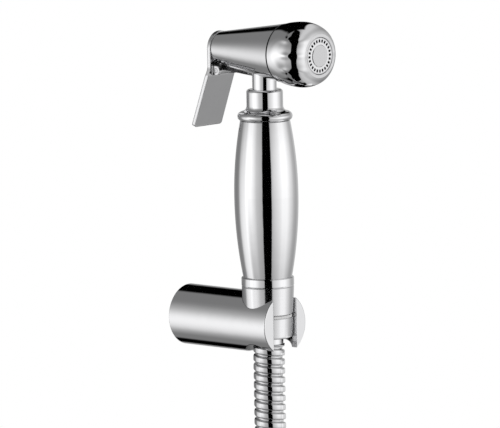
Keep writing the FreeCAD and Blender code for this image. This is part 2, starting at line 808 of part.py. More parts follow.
def make_stem_orings():
    """Two seal rings side by side on the valve's rod, one node."""
    rings = []
    for name, depth in (("outer_ring", f"({GLAND_END} + stem_seal_section + fit_gap / 2)"),
                        ("inner_ring", f"({SEAL_END} - stem_seal_section - fit_gap / 2)")):
        ring = doc.addObject("Part::Torus", name)
        ring.setExpression("Radius1", bound("rod_radius + run_gap / 2 + stem_seal_section"))
        ring.setExpression("Radius2", bound("stem_seal_section"))
        ring.setExpression("Placement.Base.y", bound(inboard(depth)))
        ring.Placement.Rotation = FreeCAD.Rotation(FreeCAD.Vector(1, 0, 0), 90)
        rings.append(ring)
    pair = new_piece("stem_orings", HEAD, "Part::Compound")
    pair.Links = rings
    return pair


def make_valve_seat():
    """Brass seat with its raised lip, held against the shoulder by the nozzle cap."""
    return turned_piece("valve_seat", HEAD, [
        (inboard(POPPET_FACE) + " - fit_gap", "seat_hole"),
        (inboard(POPPET_FACE) + " - fit_gap", "seat_hole + seat_lip / 2"),
        (inboard(SEAT_START), "seat_hole + 1.5 * seat_lip"),
        (inboard(SEAT_START), "front_bore_radius - fit_gap"),
        (inboard(SEAT_END), "front_bore_radius - fit_gap"),
        (inboard(SEAT_END), "seat_hole"),
    ], lying=True)


def make_seat_gasket():
    """Flat gasket under the seat."""
    return turned_piece("seat_gasket", HEAD, [
        (inboard(CHAMBER_END), "chamber_radius + loose_gap"),
        (inboard(CHAMBER_END), "front_bore_radius - fit_gap"),
        (inboard(SEAT_START), "front_bore_radius - fit_gap"),
        (inboard(SEAT_START), "chamber_radius + loose_gap"),
    ], lying=True)


def make_nozzle_cap():
    """Bell-shaped cap screwed into the barrel, which carries on its taper to the rounded nose."""
    seam_radius = barrel_at("(0 - seam_reach)")
    nose_length = ("(nose_round * cos(nose_turn)"
                   " + nose_corner * (cos(nose_edge) - cos(nose_turn)))")
    bell_length = f"(face_reach - {nose_length} - seam_reach - seam_groove)"
    bell_radius = f"({seam_radius} + bell_rise)"
    turn_radius = f"({bell_radius} - nose_round * (1 - sin(nose_turn)))"
    return turned_piece("nozzle_cap", HEAD, [
        ("0 - seam_reach", seam_radius + " - seam_groove"),
        ("0 - seam_reach - seam_groove", seam_radius),
        (f"{nose_length} - face_reach", bell_radius,
         f"(({bell_length}^2 + bell_rise^2) / bell_rise / 2)", 1),
        ("nose_corner * (cos(nose_edge) - cos(nose_turn)) - face_reach", turn_radius,
         "nose_round", 1),
        ("0 - face_reach", f"{turn_radius} - nose_corner * (sin(nose_turn) - sin(nose_edge))",
         "nose_corner", 1),
        ("0 - face_reach", "plate_radius + plate_gap"),
        (inboard(PLATE_BACK), "plate_radius + plate_gap"),
        (inboard(PLATE_BACK), "cap_cavity"),
        ("0 - seam_reach - cap_thread_length", "cap_cavity"),
        ("0 - seam_reach - cap_thread_length / 3", "cap_bore"),
        ("cap_thread_length - seam_reach", "cap_bore"),
        ("cap_thread_length - seam_reach", "cap_thread_radius"),
        ("0 - seam_reach", "cap_thread_radius"),
    ], lying=True)


def make_nozzle_oring():
    """Seal ring at the root of the cap's thread."""
    return ring_piece("nozzle_oring",
                      ("0", "0 - arm_reach - seam_reach + cap_seal_section + fit_gap / 2", HEAD_AXIS),
                      "cap_thread_radius + cap_seal_section + run_gap / 2", "cap_seal_section", lying=True)


def make_spray_plate():
    """Spray face with its ring of radial slots and the raised disc in its middle."""
    body = new_piece("spray_plate", HEAD)
    front = "(plate_sink - face_reach)"
    turn(body, [
        (inboard(PLATE_BACK), "plate_flange"),
        (inboard(PLATE_BACK), "plate_radius"),
        (front + " + groove_edge", "plate_radius"),
        (front, "plate_radius - groove_edge", "groove_edge", 1),
        (front, "disc_radius"),
        (front + " - disc_rise", "disc_radius - disc_rise"),
        (front + " - disc_rise", "0"),
        (inboard(PLATE_BACK) + " + plate_flange_height", "0"),
        (inboard(PLATE_BACK) + " + plate_flange_height", "plate_flange"),
    ], lying=True)
    slot = new_sketch(body, "XZ_Plane")
    add_outline(slot, [
        ("slot_thickness / 2", "slot_inner"),
        ("slot_thickness / 2", "slot_outer"),
        ("0 - slot_thickness / 2", "slot_outer"),
        ("0 - slot_thickness / 2", "slot_inner"),
    ])
    cut = pocket(body, slot, "2 * face_reach", back=True)
    ring = body.newObject("PartDesign::PolarPattern", "spray_slots")
    ring.Originals = [cut]
    ring.Axis = ([feature for feature in body.Origin.OriginFeatures if feature.Role == "Y_Axis"][0], [""])
    ring.Angle = 360.0
    ring.setExpression("Occurrences", bound("slot_count"))
    body.Tip = ring
    return body


def make_diffuser():
    """Drilled disc behind the spray face, with the rim that clamps the face's flange."""
    body = new_piece("diffuser", HEAD)
    rim_front = f"({inboard(PLATE_BACK)} + plate_flange_height)"
    turn(body, [
        (f"{rim_front} + diffuser_rim + diffuser_wall", "0"),
        (f"{rim_front} + diffuser_rim + diffuser_wall", "cap_cavity - fit_gap"),
        (rim_front, "cap_cavity - fit_gap"),
        (rim_front, "plate_radius"),
        (f"{rim_front} + diffuser_rim", "plate_radius"),
        (f"{rim_front} + diffuser_rim", "0"),
    ], lying=True)
    hole = new_sketch(body, "XZ_Plane")
    add_circle(hole, "0", "diffuser_hole_circle", "diffuser_hole")
    cut = pocket(body, hole, "2 * face_reach", back=True)
    ring = body.newObject("PartDesign::PolarPattern", "diffuser_holes_ring")
    ring.Originals = [cut]
    ring.Axis = ([feature for feature in body.Origin.OriginFeatures if feature.Role == "Y_Axis"][0], [""])
    ring.Angle = 360.0
    ring.setExpression("Occurrences", bound("diffuser_holes"))
    body.Tip = ring
    return body


# ---- valve ----

BALL_ALONG = "(rear_reach - pin_inset)"
COLLAR_START = f"({POPPET_START} - poppet_collar_height)"


def make_valve_stem():
    """Valve rod: ball end at the lever, collar under the spring, threaded tip for the washer."""
    ball_root = "sqrt(ball_radius^2 - ball_neck_radius^2)"
    tip = f"({POPPET_FACE} + poppet_nut_height + loose_gap)"
    return turned_piece("valve_stem", HEAD, [
        (f"{BALL_ALONG} + ball_radius", "0"),
        (BALL_ALONG, "ball_radius", "ball_radius", 1),
        (f"{BALL_ALONG} - {ball_root}", "ball_neck_radius", "ball_radius", 1),
        (inboard("rod_start"), "ball_neck_radius"),
        (inboard("rod_start"), "rod_radius"),
        (inboard(COLLAR_START), "rod_radius"),
        (inboard(COLLAR_START), "poppet_collar_radius"),
        (inboard(POPPET_START), "poppet_collar_radius"),
        (inboard(POPPET_START), "poppet_thread_radius"),
        (inboard(tip), "poppet_thread_radius"),
        (inboard(tip), "0"),
    ], lying=True)


def make_poppet_washer():
    """Rubber disc that closes on the seat's lip."""
    return turned_piece("poppet_washer", HEAD, [
        (inboard(POPPET_START), "poppet_thread_radius + fit_gap"),
        (inboard(POPPET_START), "poppet_radius"),
        (inboard(POPPET_FACE), "poppet_radius"),
        (inboard(POPPET_FACE), "poppet_thread_radius + fit_gap"),
    ], lying=True)


def make_poppet_nut():
    """Small nut that holds the rubber disc on the rod."""
    body = new_piece("poppet_nut", HEAD)
    blank = new_sketch(body, "XZ_Plane", f"{POPPET_FACE} - rear_reach")
    add_hexagon(blank, "poppet_nut_flat")
    add_circle(blank, "0", "0", "poppet_thread_radius + fit_gap")
    pad(body, blank, "poppet_nut_height")
    return body


def make_valve_spring():
    """Spring that pushes the poppet onto its seat."""
    start = number(inboard(CHAMBER_START))
    length = number(f"{COLLAR_START} - {CHAMBER_START}")
    wire, radius = number("spring_wire"), number("spring_radius")
    pitch = (length - 2 * wire) / number("spring_turns")
    helix = Part.makeHelix(pitch, length - 2 * wire, radius)
    section = Part.Wire(Part.makeCircle(wire, FreeCAD.Vector(radius, 0, 0), FreeCAD.Vector(0, 1, 0)))
    coil = Part.Wire(helix).makePipeShell([section], True, True)
    spring = doc.addObject("Part::Feature", "valve_spring")
    spring.Label = "valve_spring"
    spring.Shape = coil
    spring.Placement = FreeCAD.Placement(
        FreeCAD.Vector(0, start - wire - number("arm_reach"), number(HEAD_AXIS)),
        FreeCAD.Rotation(FreeCAD.Vector(1, 0, 0), 90))
    PARTS.append(spring)
    return spring


# ---- lever ----

def make_lever():
    """Bent lever: plate over the barrel's rear, paddle below, hinge ears and the rod's yoke."""
    body = new_piece("lever", HEAD)
    inner = "(rear_reach + lever_gap)"
    outer = f"({inner} + lever_thickness)"
    bend_centre = f"({outer} + lever_bend_radius)"
    wide = "(lever_bend_radius + lever_thickness)"
    side = new_sketch(body, "YZ_Plane")
    add_outline(side, [
        (inner, "lever_top_radius"),
        (inner, "0 - lever_bend_drop"),
        (f"{bend_centre} - {wide} * cos(lever_angle)",
         f"0 - lever_bend_drop - {wide} * sin(lever_angle)", wide, 1),
        (f"{bend_centre} - {wide} * cos(lever_angle) + lever_paddle_length * sin(lever_angle)",
         f"0 - lever_bend_drop - {wide} * sin(lever_angle) - lever_paddle_length * cos(lever_angle)"),
        (f"{bend_centre} - lever_bend_radius * cos(lever_angle) + lever_paddle_length * sin(lever_angle)",
         "0 - lever_bend_drop - lever_bend_radius * sin(lever_angle)"
         " - lever_paddle_length * cos(lever_angle)"),
        (f"{bend_centre} - lever_bend_radius * cos(lever_angle)",
         "0 - lever_bend_drop - lever_bend_radius * sin(lever_angle)"),
        (outer, "0 - lever_bend_drop", "lever_bend_radius", -1),
        (outer, "lever_top_radius"),
    ])
    pad(body, side, "3 * lever_foot_half", middle=True)
    front = new_sketch(body, "XZ_Plane")
    border = "(2 * lever_foot_half)"
    foot = "(lever_bend_drop + lever_bend_radius + lever_paddle_length)"
    add_outline(front, [
        (border, border),
        (f"0 - {border}", border),
        (f"0 - {border}", f"0 - {foot} - overcut"),
        (border, f"0 - {foot} - overcut"),
    ])
    add_outline(front, [
        ("lever_top_radius", "0"),
        ("0", "lever_top_radius", "lever_top_radius", 1),
        ("0 - lever_top_radius", "0", "lever_top_radius", 1),
        ("0 - lever_top_radius", "0 - lever_bend_drop"),
        ("0 - lever_shoulder_half", "0 - lever_bend_drop - lever_shoulder_drop"),
        ("0 - lever_foot_half", f"0 - {foot}"),
        ("lever_foot_half", f"0 - {foot}"),
        ("lever_shoulder_half", "0 - lever_bend_drop - lever_shoulder_drop"),
        ("lever_top_radius", "0 - lever_bend_drop"),
    ])
    pocket(body, front, "4 * face_reach", middle=True)
    foot_height = number("0 - lever_bend_drop - lever_paddle_length * cos(lever_angle)")
    shape_edges(body, "Fillet", "lever_corner", lambda edge: (
        edge.BoundBox.XLength < 0.2 and edge.BoundBox.ZMax < foot_height
        and edge.BoundBox.YLength > number("lever_thickness / 2")))
    pin_along, ear_root = "(rear_reach - pin_inset)", f"({inner} + lever_thickness / 2)"
    for start in ("(keel_width / 2 + ear_gap)", "(0 - keel_width / 2 - ear_gap - ear_thickness)"):
        ear = new_sketch(body, "YZ_Plane", start)
        add_outline(ear, [
            (ear_root, "ear_radius - pin_drop"),
            (pin_along, "ear_radius - pin_drop"),
            (pin_along + " - ear_radius", "0 - pin_drop", "ear_radius", 1),
            (pin_along, "0 - pin_drop - ear_radius", "ear_radius", 1),
            (ear_root, "0 - pin_drop - ear_radius"),
        ])
        pad(body, ear, "ear_thickness")
    pin_hole = new_sketch(body, "YZ_Plane")
    add_circle(pin_hole, pin_along, "0 - pin_drop", "pin_radius + run_gap")
    pocket(body, pin_hole, "3 * lever_foot_half", middle=True)
    cavity = "(ball_radius + run_gap)"
    jaw = f"({BALL_ALONG} - {cavity} - yoke_lip)"
    yoke = new_sketch(body, "XZ_Plane", f"0 - {ear_root}")
    add_outline(yoke, [
        ("yoke_half_width", "yoke_half_height"),
        ("0 - yoke_half_width", "yoke_half_height"),
        ("0 - yoke_half_width", "0 - yoke_half_height"),
        ("yoke_half_width", "0 - yoke_half_height"),
    ])
    pad(body, yoke, f"{ear_root} - {jaw}")
    socket = new_sketch(body, "XY_Plane", "0 - yoke_half_height - overcut")
    add_outline(socket, [
        (cavity, f"{BALL_ALONG} - {cavity}"),
        (cavity, f"{BALL_ALONG} + {cavity}"),
        (f"0 - {cavity}", f"{BALL_ALONG} + {cavity}"),
        (f"0 - {cavity}", f"{BALL_ALONG} - {cavity}"),
        ("0 - yoke_slot_half", f"{BALL_ALONG} - {cavity}"),
        ("0 - yoke_slot_half", f"{jaw} - overcut"),
        ("yoke_slot_half", f"{jaw} - overcut"),
        ("yoke_slot_half", f"{BALL_ALONG} - {cavity}"),
    ])
    pocket(body, socket, "yoke_half_height + overcut + ball_radius + loose_gap", back=True)
    return body


# ---- hose, its coil and the far end ----

def rounded_path(points, plane_y):
    """Straight runs joined by tangent arcs, each as large as its two runs allow."""
    corners = [FreeCAD.Vector(x, plane_y, z) for x, z in points]
    edges, start = [], corners[0]
    for before, corner, after in zip(corners, corners[1:], corners[2:]):
        into, out = (corner - before), (after - corner)
        trim = 0.45 * min(into.Length, out.Length)
        half_turn = into.getAngle(out) / 2
        into.normalize()
        out.normalize()
        entry, leave = corner - into * trim, corner + out * trim
        radius = trim / math.tan(half_turn)
        bisector = (out - into).normalize()
        middle = corner + bisector * (radius / math.cos(half_turn) - radius)
        edges.append(Part.LineSegment(start, entry).toShape())
        edges.append(Part.Arc(entry, middle, leave).toShape())
        start = leave
        print(f"hose bend radius {radius:.1f} mm")
    edges.append(Part.LineSegment(start, corners[-1]).toShape())
    return Part.Wire(edges)


def make_hose_run():
    """Hose from the ferrule down to the coil, a plain round tube."""
    path = rounded_path(HOSE_ROUTE, -number("arm_reach"))
    radius = number("hose_radius")
    section = Part.Wire(Part.makeCircle(radius, path.Vertexes[0].Point, FreeCAD.Vector(0, 0, -1)))
    solid = path.makePipeShell([section], True, False)
    print(f"hose run {path.Length:.1f} mm, volume ratio "
          f"{solid.Volume / (math.pi * radius ** 2 * path.Length):.4f}")
    run = doc.addObject("Part::Feature", "hose_run")
    run.Label = "hose_run"
    run.Shape = solid
    PARTS.append(run)
    return run


def make_hose_coil():
    """Outer shape of the coiled hose: a rounded ring in a plane parallel to the wall."""
    inner = "(coil_radius - hose_radius)"
    outer = "(coil_radius + hose_radius)"
    back = "(hose_radius)"
    front = "(0 - hose_radius - coil_pitch * coil_turns)"
    return turned_piece("hose_coil", ("coil_centre_x", "-arm_reach", "-coil_centre_drop"), [
        (back, f"{inner} + coil_corner", "coil_corner", 1),
        (back, f"{outer} - coil_corner"),
        (f"{back} - coil_corner", outer, "coil_corner", 1),
        (f"{front} + coil_corner", outer),
        (front, f"{outer} - coil_corner", "coil_corner", 1),
        (front, f"{inner} + coil_corner"),
        (f"{front} + coil_corner", inner, "coil_corner", 1),
        (f"{back} - coil_corner", inner),
    ], lying=True)


def make_hose_tail():
    """Last stretch of hose, hanging straight from the coil."""
    tail = new_piece("hose_tail", TAIL, "Part::Cylinder")
    tail.setExpression("Radius", bound("hose_radius"))
    tail.setExpression("Height", bound("tail_length"))
    return tail


def make_hose_tie():
    """Strap round the coil's turns."""
    body = new_piece("hose_tie", ("coil_centre_x", "-arm_reach", "-coil_centre_drop"))
    inner = "(coil_radius - hose_radius - loose_gap)"
    outer = "(coil_radius + hose_radius + loose_gap)"
    back = "(hose_radius + loose_gap)"
    front = "(0 - hose_radius - loose_gap - coil_pitch * coil_turns)"
    loop = new_sketch(body, "YZ_Plane", "0 - tie_width / 2")
    for low, high, near, far in (
            (f"{inner} - tie_thickness", f"{outer} + tie_thickness",
             f"{front} - tie_thickness", f"{back} + tie_thickness"),
            (inner, outer, front, back)):
        add_outline(loop, [(near, low), (far, low), (far, high), (near, high)])
    pad(body, loop, "tie_width")
    body.Placement.Rotation = FreeCAD.Rotation(FreeCAD.Vector(0, 1, 0), number("90 - tie_angle"))
    return body


TAIL_FLANGE = "(0 - tail_ferrule_show - tail_nut_roof)"
TAIL_WASHER_FOOT = f"({TAIL_FLANGE} - tail_flange_height - run_gap / 2 - tail_washer_height)"


def make_tail_ferrule():
    """Crimped ferrule at the hose's far end, with the flange that carries the nut."""
    return turned_piece("tail_ferrule", TAIL, [
        ("hose_bore", "0"),
        ("hose_ferrule_radius", "0"),
        ("hose_ferrule_radius", TAIL_FLANGE),
        ("tail_flange_radius", TAIL_FLANGE),
        ("tail_flange_radius", f"{TAIL_FLANGE} - tail_flange_height"),
        ("hose_bore", f"{TAIL_FLANGE} - tail_flange_height"),
    ])


def make_tail_nut():
    """Hexagon swivel nut with the half-inch pipe thread."""
    body = new_piece("tail_nut", TAIL)
    roof = "(0 - tail_ferrule_show + run_gap)"
    blank = new_sketch(body, "XY_Plane", f"{roof} - tail_nut_height")
    add_hexagon(blank, "tail_nut_flat")
    pad(body, blank, "tail_nut_height")
    corner = "(tail_nut_flat / cos(30))"
    for level, away in ((roof, "-"), (f"({roof} - tail_nut_height)", "+")):
        turn(body, [
            ("tail_nut_flat", level),
            (f"{corner} + overcut", f"{level} {away} ({corner} + overcut - tail_nut_flat) * tan(30)"),
            (f"{corner} + overcut", level),
        ], cut=True)
    turn(body, [
        ("0", f"{roof} + overcut"),
        ("hose_ferrule_radius + run_gap", f"{roof} + overcut"),
        ("hose_ferrule_radius + run_gap", f"{TAIL_FLANGE} + run_gap / 2"),
        ("tail_nut_chamber", f"{TAIL_FLANGE} + run_gap / 2"),
        ("tail_nut_chamber", TAIL_WASHER_FOOT),
        ("tail_thread_radius", TAIL_WASHER_FOOT),
        ("tail_thread_radius", f"{roof} - tail_nut_height - overcut"),
        ("0", f"{roof} - tail_nut_height - overcut"),
    ], cut=True)
    return body


def make_tail_washer():
    """Flat washer in the tail nut."""
    top = f"({TAIL_FLANGE} - tail_flange_height - run_gap / 2)"
    return turned_piece("tail_washer", TAIL, [
        ("tail_washer_hole", top),
        ("tail_nut_chamber - run_gap", top),
        ("tail_nut_chamber - run_gap", TAIL_WASHER_FOOT),
        ("tail_washer_hole", TAIL_WASHER_FOOT),
    ])


MAKERS = (
    make_holder_arm, make_wall_boss, make_set_screw,
    make_swivel_sleeve, make_swivel_ring, make_hose_ferrule,
    make_hose_run, make_hose_coil, make_hose_tail, make_hose_tie, make_tail_ferrule,
    make_tail_nut, make_tail_washer,
    make_cone_nut, make_hose_washer, make_swivel_stem, make_swivel_oring, make_stem_clip,
    make_handle_base, make_handle_tube, make_handle_shell, make_handle_ferrule, make_neck_oring,
    make_head_body, make_gland_nut, make_stem_orings, make_valve_seat, make_seat_gasket,
    make_valve_spring, make_nozzle_cap, make_nozzle_oring, make_spray_plate, make_diffuser,
    make_hinge_pin, make_valve_stem, make_poppet_washer, make_poppet_nut, make_lever,
)
for maker in MAKERS:
    maker()
doc.recompute()

for item in doc.Objects:
    if "Invalid" in item.State or "Error" in item.State:
        raise RuntimeError(f"{item.Label} failed: {item.State}")
for item in PARTS:
    if item.Shape.isNull() or not item.Shape.isValid() or not item.Shape.Solids:
        raise RuntimeError(f"{item.Label} has no valid solid")

os.makedirs("parts", exist_ok=True)
for item in PARTS:
    item.Shape.exportStep(f"parts/{item.Label}.step")
    box = item.Shape.BoundBox
    print(f"{item.Label:20s} {len(item.Shape.Solids)} solid(s) {item.Shape.Volume:10.1f} mm3"
          f"  x {box.XMin:.1f} {box.XMax:.1f}  y {box.YMin:.1f} {box.YMax:.1f}"
          f"  z {box.ZMin:.1f} {box.ZMax:.1f}")
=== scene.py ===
"""Looks for a trigger spray in its wall holder: plated finishes, the metal hose and a studio."""

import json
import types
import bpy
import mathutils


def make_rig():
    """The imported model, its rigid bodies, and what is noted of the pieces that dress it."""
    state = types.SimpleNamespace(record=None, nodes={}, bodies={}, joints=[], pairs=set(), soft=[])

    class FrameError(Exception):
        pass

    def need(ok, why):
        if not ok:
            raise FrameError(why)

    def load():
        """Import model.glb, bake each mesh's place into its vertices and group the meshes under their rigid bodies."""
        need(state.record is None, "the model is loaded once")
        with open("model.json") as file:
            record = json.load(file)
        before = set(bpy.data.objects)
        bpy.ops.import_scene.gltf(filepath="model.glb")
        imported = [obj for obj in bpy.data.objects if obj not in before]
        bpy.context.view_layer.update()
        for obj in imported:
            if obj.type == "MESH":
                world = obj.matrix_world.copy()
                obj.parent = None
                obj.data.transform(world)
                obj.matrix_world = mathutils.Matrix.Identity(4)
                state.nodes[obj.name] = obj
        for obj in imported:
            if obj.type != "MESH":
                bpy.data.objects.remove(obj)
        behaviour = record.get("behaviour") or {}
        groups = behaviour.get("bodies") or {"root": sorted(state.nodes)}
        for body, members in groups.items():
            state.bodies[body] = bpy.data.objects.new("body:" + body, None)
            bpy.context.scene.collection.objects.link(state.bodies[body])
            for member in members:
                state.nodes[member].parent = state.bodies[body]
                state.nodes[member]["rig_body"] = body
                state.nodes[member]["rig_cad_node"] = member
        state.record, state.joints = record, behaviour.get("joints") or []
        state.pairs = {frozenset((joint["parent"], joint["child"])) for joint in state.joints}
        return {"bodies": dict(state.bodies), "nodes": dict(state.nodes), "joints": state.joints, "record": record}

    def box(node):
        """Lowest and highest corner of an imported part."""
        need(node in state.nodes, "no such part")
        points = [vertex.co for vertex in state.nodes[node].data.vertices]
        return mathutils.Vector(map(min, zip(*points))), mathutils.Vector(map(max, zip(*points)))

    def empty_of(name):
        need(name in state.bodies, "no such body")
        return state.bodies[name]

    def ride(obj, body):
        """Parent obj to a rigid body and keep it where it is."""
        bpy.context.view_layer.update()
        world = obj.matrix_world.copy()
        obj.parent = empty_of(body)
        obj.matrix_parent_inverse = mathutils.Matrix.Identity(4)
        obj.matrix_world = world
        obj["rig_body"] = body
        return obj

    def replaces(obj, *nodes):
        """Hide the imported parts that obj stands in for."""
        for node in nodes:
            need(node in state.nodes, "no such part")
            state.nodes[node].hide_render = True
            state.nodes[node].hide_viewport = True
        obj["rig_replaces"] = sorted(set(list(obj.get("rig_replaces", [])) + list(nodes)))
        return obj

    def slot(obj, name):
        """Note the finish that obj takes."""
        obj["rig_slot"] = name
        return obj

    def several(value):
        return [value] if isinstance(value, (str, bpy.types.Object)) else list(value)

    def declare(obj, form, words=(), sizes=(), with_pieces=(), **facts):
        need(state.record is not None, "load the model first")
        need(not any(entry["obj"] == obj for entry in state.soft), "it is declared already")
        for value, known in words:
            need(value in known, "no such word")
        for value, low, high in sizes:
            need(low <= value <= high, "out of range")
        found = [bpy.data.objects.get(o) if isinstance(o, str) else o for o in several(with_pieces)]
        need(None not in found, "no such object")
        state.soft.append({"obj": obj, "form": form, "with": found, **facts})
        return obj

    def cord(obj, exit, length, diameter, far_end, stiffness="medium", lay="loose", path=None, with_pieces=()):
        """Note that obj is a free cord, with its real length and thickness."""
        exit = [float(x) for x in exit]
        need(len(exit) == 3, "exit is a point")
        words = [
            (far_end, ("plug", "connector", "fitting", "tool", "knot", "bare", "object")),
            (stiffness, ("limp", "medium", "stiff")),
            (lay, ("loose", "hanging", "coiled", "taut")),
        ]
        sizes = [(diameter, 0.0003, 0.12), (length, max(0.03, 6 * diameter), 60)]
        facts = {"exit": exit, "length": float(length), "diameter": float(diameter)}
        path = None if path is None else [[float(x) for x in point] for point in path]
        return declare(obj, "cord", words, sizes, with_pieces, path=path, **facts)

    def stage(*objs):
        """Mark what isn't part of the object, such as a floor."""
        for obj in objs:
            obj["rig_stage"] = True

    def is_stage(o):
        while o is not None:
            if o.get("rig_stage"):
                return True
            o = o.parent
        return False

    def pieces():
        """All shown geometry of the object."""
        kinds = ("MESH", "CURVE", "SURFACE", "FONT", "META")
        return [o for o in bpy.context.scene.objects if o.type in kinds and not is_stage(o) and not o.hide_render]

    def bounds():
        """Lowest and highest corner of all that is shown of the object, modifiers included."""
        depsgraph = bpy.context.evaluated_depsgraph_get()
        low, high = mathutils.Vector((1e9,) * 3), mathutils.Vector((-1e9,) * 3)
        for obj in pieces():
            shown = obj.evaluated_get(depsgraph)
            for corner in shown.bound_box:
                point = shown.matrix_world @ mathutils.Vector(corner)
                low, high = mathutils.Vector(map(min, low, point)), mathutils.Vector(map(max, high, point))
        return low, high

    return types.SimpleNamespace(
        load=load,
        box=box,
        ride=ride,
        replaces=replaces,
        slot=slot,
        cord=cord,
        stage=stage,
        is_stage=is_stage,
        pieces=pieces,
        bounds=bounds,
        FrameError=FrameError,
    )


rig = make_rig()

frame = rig.load()

import json
import math
from types import SimpleNamespace

import bmesh
import bpy
from bpy.props import FloatProperty, FloatVectorProperty, IntProperty, PointerProperty
from mathutils import Matrix, Vector

bl_info = {
    "name": "Bath Sprayer",
    "version": (1, 0, 0),
    "blender": (4, 5, 0),
    "location": "View3D > Sidebar > Sprayer",
    "description": "Finishes, metal hose and studio for a trigger spray handset",
    "category": "Object",
}

CAD_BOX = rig.bounds()


def middle(node):
    """Centre of a CAD node's box."""
    low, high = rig.box(node)
    return (low + high) / 2


HANDSET = middle("handle_shell")
HEAD = middle("spray_plate")
BARREL_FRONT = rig.box("head_body")[0].y
BARREL_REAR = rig.box("head_body")[1].y
ARM_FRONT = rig.box("holder_arm")[0].y
ARM_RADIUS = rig.box("holder_arm")[1].x
COIL = middle("hose_coil")
TAIL = middle("hose_tail")
TAIL_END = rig.box("hose_tail")[0].z

ACROSS, BACKWARD, UP = (1.0, 0.0, 0.0), (0.0, 1.0, 0.0), (0.0, 0.0, 1.0)
# Stretch of coordinates that leaves out how far back a point lies.
FLAT = (1.0, 0.0, 1.0)

# Level of the studio's surroundings at bearings from behind (0), by the left (0.25), the camera
# (0.5) and the right (0.75), to behind again.
SURROUNDINGS = (
    (0.00, 0.30), (0.056, 0.25), (0.12, 0.19), (0.165, 0.24), (0.20, 0.70), (0.235, 0.86),
    (0.26, 0.90), (0.28, 1.08), (0.34, 1.08), (0.37, 0.86), (0.40, 0.59), (0.45, 0.45),
    (0.55, 0.47), (0.58, 0.66), (0.642, 0.91), (0.667, 1.06), (0.722, 1.06), (0.744, 0.95),
    (0.765, 0.82), (0.79, 0.70), (0.83, 0.46), (0.875, 0.37), (0.94, 0.52), (1.00, 0.40),
)

# Control points of the hose between the ferrule and the coil.
HOSE_ROUTE = [
    (0.0, -0.048, -0.0094),
    (0.0, -0.048, -0.038),
    (0.0, -0.048, -0.060),
    (0.0298, -0.048, -0.1026),
]


# ---- what a user may change ----

class HoseSettings(bpy.types.PropertyGroup):
    """Sizes of the metal hose and its coil."""

    radius: FloatProperty(
        name="Radius", description="Over the crests of the strip", default=0.007, unit="LENGTH")
    depth: FloatProperty(
        name="Groove Depth", description="From crest to groove", default=0.00105, unit="LENGTH")
    pitch: FloatProperty(
        name="Pitch", description="From one crest to the next", default=0.00408, unit="LENGTH")
    crest: FloatProperty(
        name="Crest Share", description="Share of the pitch that the crest takes", default=0.67,
        subtype="FACTOR")
    corner: FloatProperty(
        name="Crest Corner", description="Radius at the crest's edges", default=0.0005,
        unit="LENGTH")
    phase: FloatProperty(
        name="Start", description="Angle at which the winding starts", default=math.radians(160),
        subtype="ANGLE")
    sides: IntProperty(
        name="Sides", description="Faces round the hose", default=32)
    length: FloatProperty(
        name="Length", description="Real length of the hose", default=1.2, unit="LENGTH")
    coil_radius: FloatProperty(
        name="Coil Radius", description="At the middle of the turns", default=0.0739, unit="LENGTH")
    coil_start: FloatProperty(
        name="Coil Start", description="Angle where the hose joins its coil",
        default=math.radians(60), subtype="ANGLE")
    coil_turns: IntProperty(
        name="Whole Turns", description="Turns after the first stretch", default=2)
    coil_points: IntProperty(
        name="Points", description="Control points in each turn", default=16)


class TieSettings(bpy.types.PropertyGroup):
    """Sizes of the strap that holds the coil."""

    width: FloatProperty(
        name="Width", description="Along the hose", default=0.0078, unit="LENGTH")
    thickness: FloatProperty(
        name="Thickness", description="Of the strap", default=0.0011, unit="LENGTH")
    corner: FloatProperty(
        name="Corner", description="Radius where it turns round the hose", default=0.006,
        unit="LENGTH")


class FinishSettings(bpy.types.PropertyGroup):
    """Colours of the finishes."""

    chrome: FloatVectorProperty(
        name="Chrome", description="Plating", default=(0.80, 0.80, 0.81), subtype="COLOR")
    steel: FloatVectorProperty(
        name="Steel", description="Clip, pin and spring", default=(0.62, 0.62, 0.63),
        subtype="COLOR")
    brass: FloatVectorProperty(
        name="Brass", description="Unplated pieces inside", default=(0.72, 0.52, 0.24),
        subtype="COLOR")
    rubber: FloatVectorProperty(
        name="Rubber", description="Seals", default=(0.028, 0.028, 0.030), subtype="COLOR")
    plastic: FloatVectorProperty(
        name="Plastic", description="Moulded pieces", default=(0.78, 0.78, 0.78), subtype="COLOR")


class StudioSettings(bpy.types.PropertyGroup):
    """Camera and light."""

    azimuth: FloatProperty(
        name="Azimuth", description="Camera's side", default=math.radians(-47), subtype="ANGLE")
    elevation: FloatProperty(
        name="Elevation", description="Camera's height", default=math.radians(7.5), subtype="ANGLE")
    roll: FloatProperty(
        name="Roll", description="Camera's lean", default=math.radians(1.0), subtype="ANGLE")
    distance: FloatProperty(
        name="Distance", description="From camera to object", default=3.5, unit="LENGTH")
    lens: FloatProperty(
        name="Lens", description="Focal length", default=569.0, unit="CAMERA")
    aim_right: FloatProperty(
        name="Aim Right", description="Aim point from the handset's axis", default=-0.0082,
        unit="LENGTH")
    aim_up: FloatProperty(
        name="Aim Up", description="Aim point above the holder's arm", default=0.0481,
        unit="LENGTH")
    glow: FloatProperty(
        name="Softboxes", description="Level of the softboxes that the plating shows", default=1.25)
    fill: FloatProperty(
        name="Fill", description="Level of the light on matt pieces", default=0.75)
    lamp: FloatProperty(
        name="Lamp", description="Overhead lamp", default=6.0, unit="POWER")
    side_lamp: FloatProperty(
        name="Side Lamp", description="Low lamp beside the hose", default=0.018, unit="POWER")


# ---- shader maths ----

